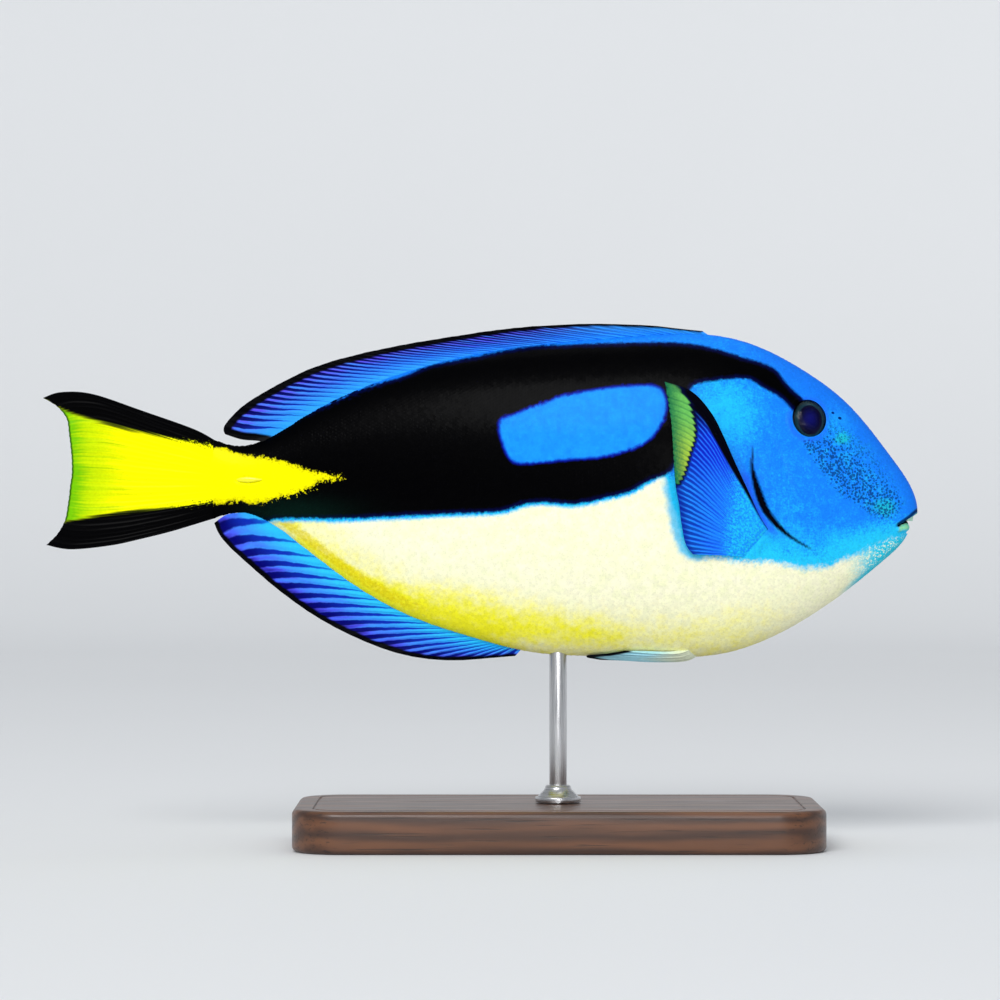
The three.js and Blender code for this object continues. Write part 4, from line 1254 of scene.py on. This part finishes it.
# The breast fins leave the flanks behind the gill covers on a fleshy root and are spread up and back. They
# are deep blue with dark webs, black along the first ray, and clear yellow-green where light comes through.
breast_top = along_curve([
    (17.5, -4), (18.6, -2.2), (19.7, 0.2), (21.4, 3.8), (22.7, 6.65), (24.1, 9.25), (26.3, 11.6),
    (29.3, 12.65),
])
breast_edge = along_curve([
    (29.3, 12.65), (28.95, 10.6), (28.55, 8.2), (28.35, 5.8), (28.2, 3.4), (28, 1), (27.6, -1.2),
    (27.3, -3.4), (26.8, -5.6), (26, -6.7),
])
breast_tip_ring = smooth_line([
    (29.4, 12.6), (28.9, 10.6), (28.7, 8.2), (28.5, 5.8), (28.3, 4.2), (28.2, 2.2), (27.9, 1.2),
    (27.1, 2.4), (26.5, 4.6), (25.95, 6.4), (26, 8), (26.6, 10.3), (27.7, 11.9),
], 4)
breast_lead = breast_top(np.linspace(0, 1, 40))


def breast_base(way):
    return breast_root[0] * (1 - way[:, None]) + breast_root[1] * way[:, None]


def on_left(point, start, sway):
    """Stands the left breast fin off the flank, more and more towards its tip."""
    away = mm(np.hypot(*(point - start).T))
    out = flank(start[:, 0], start[:, 1]) + 1.6 * (1 - np.exp(-away / 2.2)) - 1.1 + 0.2 * away
    return np.stack(space(point[:, 0], out + sway, point[:, 1]), axis=-1)


breast_left = rayed_fin(
    "breast_web_left", rays=16, unbranched=1, rows=44, root=breast_base, edge=breast_edge, place=on_left,
    blade=(0.55, 0.85, 2.8, 0.45), first_ray=breast_top, wave=0.5, notch=0.002,
)
side_values(breast_left, "tip", lambda at: within(at, breast_tip_ring))
side_values(breast_left, "lead", lambda at: np.abs(from_line(at, breast_lead)[0]))
side_values(breast_left, "side_height", lambda at: at[:, 1])
side_values(breast_left, "tip_behind", lambda at: at[:, 0] - 0.12 * at[:, 1])
breast_finish, tree, surface = new_finish("blue_breast_fin")
web, crest = streaks(tree, 0.25, 0.75, 0.35)
out = kept_value(tree, "out")
height = kept_value(tree, "side_height")
threads = threads_of(tree, 1.3, 2.4, 3)
speckle = ripple(tree, 1700)
colour = blend(tree, step_of(tree, threads, -0.15, 0.15), "#1764ee", "#1c84fb")
colour = blend(tree, step_of(tree, height, -0.5, 5.0), colour, "#1536e2")
colour = blend(tree, step_of(tree, crest, 0.6, 1.0, 0.0, 0.7), colour, "#2e94fe")
navy = blend(tree, step_of(tree, out, 0.5, 0.95), "#0c30c0", "#081480")
colour = blend(tree, times(tree, web, 0.72), colour, navy)
near_root = plus(tree, times(tree, out, -1.0), speckle, 0.35)
root_blue = blend(tree, step_of(tree, speckle, -0.1, 0.12), "#1a92f8", "#24c2f2")
colour = blend(tree, step_of(tree, near_root, -0.46, -0.22), colour, root_blue)
colour = blend(tree, step_of(tree, out, 0.88, 1.0, 0.0, 0.75), colour, "#0b1f96")
upper = step_of(tree, plus(tree, height, crest, -0.8), 6.0, 9.4)
colour = blend(tree, upper, colour, "#02021a")
lead_width = step_of(tree, height, -3.6, 9.0, 0.2, 2.7)
lead = calc(tree, "SUBTRACT", lead_width, "lead")
lead_black = blend(tree, step_of(tree, height, -3.4, 0.0), "#0a2f9c", "#01010a")
colour = blend(tree, step_of(tree, lead, -0.45, 0.2), colour, lead_black)
tip = plus(tree, "tip", calc(tree, "SUBTRACT", crest, 0.5), 0.7)
colour = blend(tree, step_of(tree, tip, -1.3, -0.3), colour, "#03082e")
green = blend(tree, step_of(tree, height, 9.5, 3.0), "#6cc05c", "#b2cf3e")
rearward_part = plus(tree, "tip_behind", speckle, 1.2)
green = blend(tree, step_of(tree, rearward_part, 25.7, 27.9), green, "#1d7648")
green = blend(tree, step_of(tree, crest, 0.5, 0.1, 0.0, 0.4), green, "#1b6b44")
colour = blend(tree, step_of(tree, tip, -0.35, 0.35), colour, green)
finish_fin(tree, surface, colour, crest)
dress(breast_left, breast_finish)
breast_right = other_side(breast_left, "breast_web_right")
for piece, hand in ((breast_left, "left"), (breast_right, "right")):
    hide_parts(f"pectoral_fin_{hand}")

# The small pelvic fins lie folded back beside the keel of the belly, one spine and three rays each, pale
# with a dark tip.
pelvic_first = (25.3, 5)
pelvic_last = (26.3, 17)
pelvic_edge = along_curve([(34.6, 5), (36.4, 7), (37.9, 10.5), (36, 14.5), (33.6, 18.5)])


def pelvic_root(way):
    return np.array(pelvic_first) * (1 - way[:, None]) + np.array(pelvic_last) * way[:, None]


def on_belly(point, start, sway):
    """Lays the left pelvic fin on the belly, its points given in percent and in degrees from the keel."""
    angle = math.pi - np.radians(point[:, 1])
    root_behind = np.interp(point[:, 1], *zip(pelvic_first[::-1], pelvic_last[::-1]))
    away = mm(point[:, 0] - root_behind)
    lift = 1.8 * (1 - np.exp(-np.maximum(away, 0) / 2)) - 0.8 + sway
    return flesh(point[:, 0], angle) + flesh_normal(point[:, 0], angle) * lift[:, None]


pelvic_left = rayed_fin(
    "pelvic_web_left", rays=4, unbranched=0, rows=30, root=pelvic_root, edge=pelvic_edge, place=on_belly,
    blade=(0.5, 1.0, 1.5, 0.4),
)
pelvic_finish, tree, surface = new_finish("pale_belly_fin")
web, crest = streaks(tree, 0.15, 0.6)
out = kept_value(tree, "out")
colour = blend(tree, step_of(tree, out, 0.1, 0.6), "#dfe8cc", "#a6dcea")
colour = blend(tree, times(tree, web, 0.6), colour, "#6db4cc")
colour = blend(tree, step_of(tree, out, 0.84, 0.94), colour, "#04060c")
finish_fin(tree, surface, colour, crest)
dress(pelvic_left, pelvic_finish)
pelvic_right = other_side(pelvic_left, "pelvic_web_right")
for piece, hand in ((pelvic_left, "left"), (pelvic_right, "right")):
    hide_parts(f"pelvic_fin_{hand}")

# The spines that give surgeonfishes their name: a lancet of bone under a yellow sheath on each side of the
# tail's stem, folded forwards into its groove.
lancet_size = (3.75, 0.5, 0.85)
spine_spot, spine_out = flank_frame(*spine_place)
spine_turn = sideways.rotation_difference(spine_out)
spine_middle = spine_spot - spine_out * 0.15
spine_finish, tree, surface = new_finish("sheathed_bone")
tree.links.new(blend(tree, grain(tree, 900, 3), "#f4ec04", "#fdf818"), surface.inputs["Base Color"])
tree.links.new(step_of(tree, grain(tree, 1500), 0.2, 0.8, 0.25, 0.4), surface.inputs["Roughness"])
for side, hand in ((1, "left"), (-1, "right")):
    lancet = ball_at(f"lancet_{hand}", spine_middle, lancet_size, spine_turn, side, 32, 20)
    points = points_of(lancet.data) * 1000
    reach = np.clip((points[:, 0] - spine_spot.x) / lancet_size[0], -1, 1)
    points[:, 2] = spine_spot.z + (points[:, 2] - spine_spot.z) * (1.02 - 0.45 * ease(-0.2, 1.0, reach))
    set_points(lancet.data, points / 1000)
    dress(lancet, spine_finish)
    bpy.ops.object.shade_smooth()
    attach(lancet, "root")
    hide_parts(f"tail_spine_{hand}")

# The eyes. A dark ball with a large pupil in a narrow slate iris lies under a clear, wet cornea. The cornea
# is a clear ball round it, and both are a little taller than long.
cornea_depth = 0.28
pupil_middle = 0.05
pupil_reach = (0.67, 0.75)
pupil_finish, tree, surface = new_finish("iris_and_pupil")
squares = []
for direction, reach in zip(("across", "tall"), pupil_reach):
    offset = calc(tree, "SUBTRACT", direction, pupil_middle)
    squares.append(calc(tree, "POWER", calc(tree, "DIVIDE", offset, reach), 2.0))
ring = calc(tree, "SQRT", plus(tree, *squares))
fibres = grain(tree, 2200, 3, 0.7)
iris = blend(tree, step_of(tree, fibres, 0.3, 0.7), "#04181f", "#0a3440")
iris = blend(tree, step_of(tree, ring, 1.2, 1.32), iris, "#03060a")
# Painted sheen: the pupil is near-black navy at its edge and lighter blue towards its centre.
pupil_and_sheen = blend(tree, step_of(tree, ring, 0.95, 0.0), "#010122", "#060a66")
colour = blend(tree, step_of(tree, ring, 1.0, 1.07), pupil_and_sheen, iris)
rim_line = times(tree, step_of(tree, ring, 0.97, 1.02), step_of(tree, ring, 1.12, 1.06))
colour = blend(tree, times(tree, rim_line, 0.4), colour, "#1d5262")
tree.links.new(colour, surface.inputs["Base Color"])
surface.inputs["Specular IOR Level"].default_value = 0.05
tree.links.new(step_of(tree, fibres, 0.2, 0.8, 0.22, 0.35), surface.inputs["Roughness"])
clear_finish, tree, surface = new_finish("clear_cornea")
clear = blend(tree, grain(tree, 60), (0.97, 0.99, 1, 1), (1, 1, 1, 1))
tree.links.new(clear, surface.inputs["Base Color"])
surface.inputs["Roughness"].default_value = 0.02
surface.inputs["IOR"].default_value = 1.16
surface.inputs["Transmission Weight"].default_value = 1.0
cornea_size = [size / 2 for size in eye_size]
ball_size = [size - cornea_depth for size in cornea_size]
for side, hand in ((1, "left"), (-1, "right")):
    ball = ball_at(f"eyeball_{hand}", eye_centre, ball_size, eye_turn, side, 72, 56)
    dress(ball, pupil_finish)
    bpy.ops.object.shade_smooth()
    cornea = ball_at(f"cornea_{hand}", eye_centre, cornea_size, eye_turn, side, 64, 48)
    dress(cornea, clear_finish)
    bpy.ops.object.shade_smooth()
    for piece in (ball, cornea):
        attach(piece, "root")
    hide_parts(f"eye_{hand}")

# The teeth: eight small close-set chisels along the front of the upper jaw, ivory white, widest in the
# middle. One is shaped from a block and copied round the arc of the jaw.
tooth_size = (0.62, 1.02, 1.9)
tooth_count = 8
jaw_front = space(0.6, 0, -2.6)
jaw_reach = (2.5, 2.75)
jaw_arc = 120
tooth_finish, tree, surface = new_finish("tooth_ivory")
ivory = blend(tree, grain(tree, 1800, 2, 0.5, (1, 1, 0.3)), "#8fd2bc", "#c8e8d0")
tree.links.new(ivory, surface.inputs["Base Color"])
tree.links.new(step_of(tree, grain(tree, 2400), 0.2, 0.8, 0.2, 0.35), surface.inputs["Roughness"])
deselect()
bpy.ops.mesh.primitive_cube_add(size=0.001, location=(0, 0, 0))
tooth = named("upper_chisels")
tooth.scale = tooth_size
settle(tooth)
edit_all()
bpy.ops.mesh.subdivide(number_cuts=2)
object_mode()
points = points_of(tooth.data) * 1000
down = ease(0.2, -0.95, points[:, 2])
points[:, 0] *= 1 - 0.72 * down
points[:, 1] *= 1 - 0.22 * down * np.abs(points[:, 1])
set_points(tooth.data, points / 1000)
soft = tooth.modifiers.new("soft", "SUBSURF")
soft.levels = soft.render_levels = 2
apply_all(tooth)
one_tooth = points_of(tooth.data) * 1000
teeth = [tooth]
for i in range(1, tooth_count):
    piece = tooth.copy()
    piece.data = tooth.data.copy()
    bpy.context.collection.objects.link(piece)
    teeth.append(piece)
for i, piece in enumerate(teeth):
    share = i / (tooth_count - 1) - 0.5
    turn = math.radians(jaw_arc * share)
    along, across, up = (one_tooth * (1, 1.12 - 0.4 * abs(share), 1.05 - 0.25 * abs(share))).T
    x = along * math.cos(turn) - across * math.sin(turn) + jaw_front[0]
    x -= jaw_reach[0] * (1 - math.cos(turn))
    y = along * math.sin(turn) + across * math.cos(turn) + jaw_reach[1] * math.sin(turn)
    set_points(piece.data, np.stack([x, y, up + jaw_front[2]], axis=-1) / 1000)
deselect()
for piece in teeth:
    piece.select_set(True)
bpy.context.view_layer.objects.active = tooth
bpy.ops.object.join()
bpy.ops.object.shade_smooth()
dress(tooth, tooth_finish)
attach(tooth, "root")
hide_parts("upper_teeth")

# The stand's base is a plate of dark walnut with rounded corners, an eased edge and a fine groove cut round
# its top, lacquered satin. The rod stands in it under the fish's belly.
rod_behind = 41.1
rod_x = space(rod_behind, 0, 0)[0] / 1000
plate_top = 0.012
plate_half = (0.075, 0.036)
corner_radius = 0.014
eased_edge = 0.0016
groove_insets = ((0.0052, 0), (0.0004, 0), (0.0003, -0.0005), (0.0004, 0), (0.0003, 0.0005))


def pick_faces(mesh, look):
    """Selects the faces that look one way, in edit mode."""
    edit_mode()
    bpy.ops.mesh.select_mode(type="FACE")
    bpy.ops.mesh.select_all(action="DESELECT")
    object_mode()
    for face in mesh.polygons:
        face.select = face.normal.dot(look) > 0.9
    edit_mode()


def pick_edges(mesh, wanted):
    """Selects the edges whose ends pass a test, in edit mode."""
    edit_mode()
    bpy.ops.mesh.select_mode(type="EDGE")
    bpy.ops.mesh.select_all(action="DESELECT")
    object_mode()
    for edge in mesh.edges:
        edge.select = wanted(*(mesh.vertices[i].co for i in edge.vertices))
    edit_mode()


def upright_edge(start, end):
    return abs(start.z - end.z) > 0.001


def on_outline(spot, near=0.0003):
    """Tells the points on the plate's outline from those of the groove."""
    along = abs(spot.x - rod_x)
    across = abs(spot.y)
    past = [max(gap - half + corner_radius, 0) for gap, half in zip((along, across), plate_half)]
    return (
        math.hypot(*past) > corner_radius - near
        or along > plate_half[0] - near
        or across > plate_half[1] - near
    )


def rim_edge(start, end):
    level = abs(start.z - end.z) < 0.00001 and not 0.0001 < start.z < plate_top - 0.0001
    return level and on_outline(start) and on_outline(end)


wood_finish, tree, surface = new_finish("lacquered_walnut")
where = tree.nodes.new("ShaderNodeTexCoord")
lie = tree.nodes.new("ShaderNodeMapping")
lie.inputs["Scale"].default_value = (0.12, 1, 1)
lie.inputs["Rotation"].default_value = (0.35, 0.02, 0.03)
lie.inputs["Location"].default_value = (0, 0.02, 0.05)
tree.links.new(where.outputs["Object"], lie.inputs["Vector"])
rings = tree.nodes.new("ShaderNodeTexWave")
rings.wave_type = "RINGS"
rings.rings_direction = "X"
rings.inputs["Scale"].default_value = 62
rings.inputs["Distortion"].default_value = 7
rings.inputs["Detail"].default_value = 3
rings.inputs["Detail Scale"].default_value = 1.6
tree.links.new(lie.outputs["Vector"], rings.inputs["Vector"])
pore = grain(tree, 1400, 3, 0.6, (0.03, 1, 1))
figure = grain(tree, 90, 3, 0.6, (0.25, 1, 1))
colour = blend(tree, rings.outputs["Fac"], "#3a2114", "#6b4227")
colour = blend(tree, step_of(tree, figure, 0.3, 0.75, 0.0, 0.55), colour, "#4a2c1a")
pore_part = step_of(tree, pore, 0.56, 0.68, 0.0, 0.7)
colour = blend(tree, pore_part, colour, "#1d0f08")
tree.links.new(colour, surface.inputs["Base Color"])
tree.links.new(step_of(tree, pore, 0.3, 0.7, 0.36, 0.5), surface.inputs["Roughness"])
surface.inputs["Coat Weight"].default_value = 0.25
surface.inputs["Coat Roughness"].default_value = 0.2
raise_up(tree, surface, pore_part, 0.3, 0.0001).invert = True
deselect()
bpy.ops.mesh.primitive_cube_add(size=1, location=(rod_x, 0, plate_top / 2))
plate = named("walnut_base")
plate.scale = (2 * plate_half[0], 2 * plate_half[1], plate_top)
settle(plate)
pick_edges(plate.data, upright_edge)
bpy.ops.mesh.bevel(offset=corner_radius, segments=14, affect="EDGES")
pick_faces(plate.data, (0, 0, 1))
for inset, depth in groove_insets:
    bpy.ops.mesh.inset(thickness=inset, depth=depth)
pick_edges(plate.data, rim_edge)
bpy.ops.mesh.bevel(offset=eased_edge, segments=5, affect="EDGES")
object_mode()
bpy.ops.object.shade_smooth_by_angle(angle=math.radians(32))
dress(plate, wood_finish)
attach(plate, "root")
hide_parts("stand_base")

# The collar is a turned steel ferrule, drawn in by steps round the rod's foot, with a small grub screw in
# its side. The rod is bright round bar, brushed along its length, and its upper end is hidden in the belly.
collar_foot = plate_top + 0.0003
collar_steps = (
    (0, 0.0061), (0.00035, 0.0056), (0.00065, 0.005), (0.0009, 0.0041), (0.0006, 0.0038),
    (0.00055, 0.0036), (0.00025, 0.00325),
)
screw_radius = 0.0008
rod_radius = 0.0025
rod_low = plate_top - 0.007
rod_high = (float(mm(belly(rod_behind))) + 9 + axis_height) / 1000


def steel(name, cells_per_metre, stretch, bright, smooth, rough):
    """Bare steel with fine tool marks, drawn out one way."""
    finish, tree, surface = new_finish(name)
    marks = grain(tree, cells_per_metre, 2, 0.6, stretch)
    colour = blend(tree, step_of(tree, marks, 0.3, 0.7), (0.5, 0.5, 0.51, 1), bright)
    tree.links.new(colour, surface.inputs["Base Color"])
    tree.links.new(step_of(tree, marks, 0.25, 0.75, smooth, rough), surface.inputs["Roughness"])
    surface.inputs["Metallic"].default_value = 1.0
    return finish


def round_off(piece, width):
    """Rounds the sharp edges of a turned piece and shades it smooth."""
    edge_round = piece.modifiers.new("edge_round", "BEVEL")
    edge_round.width = width
    edge_round.segments = 2
    edge_round.limit_method = "ANGLE"
    edge_round.angle_limit = math.radians(40)
    apply_all(piece)
    bpy.ops.object.shade_smooth_by_angle(angle=math.radians(35))


bar_finish = steel("brushed_bar", 5200, (1, 1, 0.02), (0.68, 0.68, 0.69, 1), 0.24, 0.4)
turned_finish = steel("turned_steel", 3800, (0.03, 0.03, 1), (0.66, 0.66, 0.67, 1), 0.2, 0.34)
deselect()
bpy.ops.mesh.primitive_cylinder_add(
    vertices=72, radius=0.0065, depth=0.0015, location=(rod_x, 0, collar_foot + 0.00075),
)
collar = named("ferrule")
pick_faces(collar.data, (0, 0, 1))
for rise, radius in collar_steps:
    bpy.ops.mesh.extrude_region_move(TRANSFORM_OT_translate={"value": (0, 0, rise)})
    object_mode()
    for corner in collar.data.vertices:
        if corner.select:
            corner.co.xy = corner.co.xy.normalized() * radius
    edit_mode()
object_mode()
settle(collar)
round_off(collar, 0.00015)
deselect()
bpy.ops.mesh.primitive_cylinder_add(
    vertices=24, radius=screw_radius, depth=0.003, location=(rod_x, -0.0052, collar_foot + 0.00085),
    rotation=(math.pi / 2, 0, 0),
)
screw = named("grub_screw")
settle(screw)
pick_faces(screw.data, (0, -1, 0))
bpy.ops.mesh.inset(thickness=0.0003)
bpy.ops.mesh.inset(thickness=0.00005, depth=-0.0006)
object_mode()
bpy.ops.object.shade_smooth_by_angle(angle=math.radians(35))
deselect()
bpy.ops.mesh.primitive_cylinder_add(
    vertices=64, radius=rod_radius, depth=rod_high - rod_low, location=(rod_x, 0, (rod_low + rod_high) / 2),
)
rod = named("support_rod")
settle(rod)
round_off(rod, 0.0003)
for piece, finish in ((collar, turned_finish), (screw, turned_finish), (rod, bar_finish)):
    dress(piece, finish)
    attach(piece, "root")
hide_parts("stand_collar")
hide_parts("stand_rod")

# The camera stands level with the fish, square to its right side and far enough off for a long lens, and
# takes in the photograph's own field, 286 mm wide at the fish.
field_width = 0.28588
camera_distance = 1.2
film_width = 36
camera_data = bpy.data.cameras.new("camera")
camera_data.sensor_width = film_width
camera_data.lens = film_width * camera_distance / field_width
camera_data.clip_start = 0.05
camera_data.clip_end = 20
camera = bpy.data.objects.new("camera", camera_data)
bpy.context.scene.collection.objects.link(camera)
camera.location = (0.00565, -camera_distance, 0.09857)
camera.rotation_euler = (math.pi / 2, 0, 0)
bpy.context.scene.camera = camera

# The floor is a wide, pale, round dish, flat under the stand, whose rim curves up far off on every side.
# Two soft lamps from above, a low one in front and one even light from afar light it.
dish_middle = 0.015
dish_reach = 3.3
flat_reach = 1.7
bend_radius = 1.1
deselect()
bpy.ops.mesh.primitive_grid_add(x_subdivisions=128, y_subdivisions=70, size=1)
floor = named("floor")
points = points_of(floor.data)
turn = (points[:, 0] + 0.5) * 2 * math.pi
way = dish_middle + (points[:, 1] + 0.5) * dish_reach
past = np.clip(way - flat_reach, 0, bend_radius * math.pi / 2)
reach = np.minimum(way, flat_reach) + bend_radius * np.sin(past / bend_radius)
rise = bend_radius * (1 - np.cos(past / bend_radius))
set_points(floor.data, np.stack([reach * np.sin(turn), -reach * np.cos(turn), rise], axis=-1))
turn_faces(inside=True, merge=0.0001)
bpy.ops.object.shade_smooth()
floor_finish, tree, surface = new_finish("pale_floor")
pale_grey = blend(tree, grain(tree, 3, 2), (0.79, 0.8, 0.81, 1), (0.81, 0.82, 0.83, 1))
tree.links.new(pale_grey, surface.inputs["Base Color"])
surface.inputs["Roughness"].default_value = 0.7
surface.inputs["Specular IOR Level"].default_value = 0.2
dress(floor, floor_finish)


def place_light(name, data, spot, aim):
    lamp = bpy.data.objects.new(name, data)
    bpy.context.scene.collection.objects.link(lamp)
    lamp.location = spot
    lamp.rotation_euler = (Vector(spot) - Vector(aim)).to_track_quat("Z", "Y").to_euler()


def soft_lamp(name, spot, aim, width, power):
    data = bpy.data.lights.new(name, "AREA")
    data.shape = "RECTANGLE"
    data.size = width
    data.size_y = width * 0.8
    data.energy = power
    place_light(name, data, spot, aim)


soft_lamp("key_lamp", (-0.4, -1.0, 0.85), (0, 0, 0.1), 0.7, 2.2)
soft_lamp("top_lamp", (0.1, 0.15, 1.1), (0, 0, 0.1), 0.9, 2.0)
soft_lamp("low_lamp", (0.1, -1.15, 0.27), (0, 0, 0.09), 0.4, 2.0)
even_light = bpy.data.lights.new("even_light", "SUN")
even_light.energy = 1.5
even_light.angle = math.radians(28)
place_light("even_light", even_light, (-0.3, -1.0, 0.75), (0, 0, 0))
world = bpy.data.worlds.new("room")
world.use_nodes = True
room_light = world.node_tree.nodes["Background"].inputs
room_light["Color"].default_value = (0.86, 0.9, 0.95, 1)
room_light["Strength"].default_value = 0.45
bpy.context.scene.world = world
bpy.context.scene.view_settings.view_transform = "Standard"
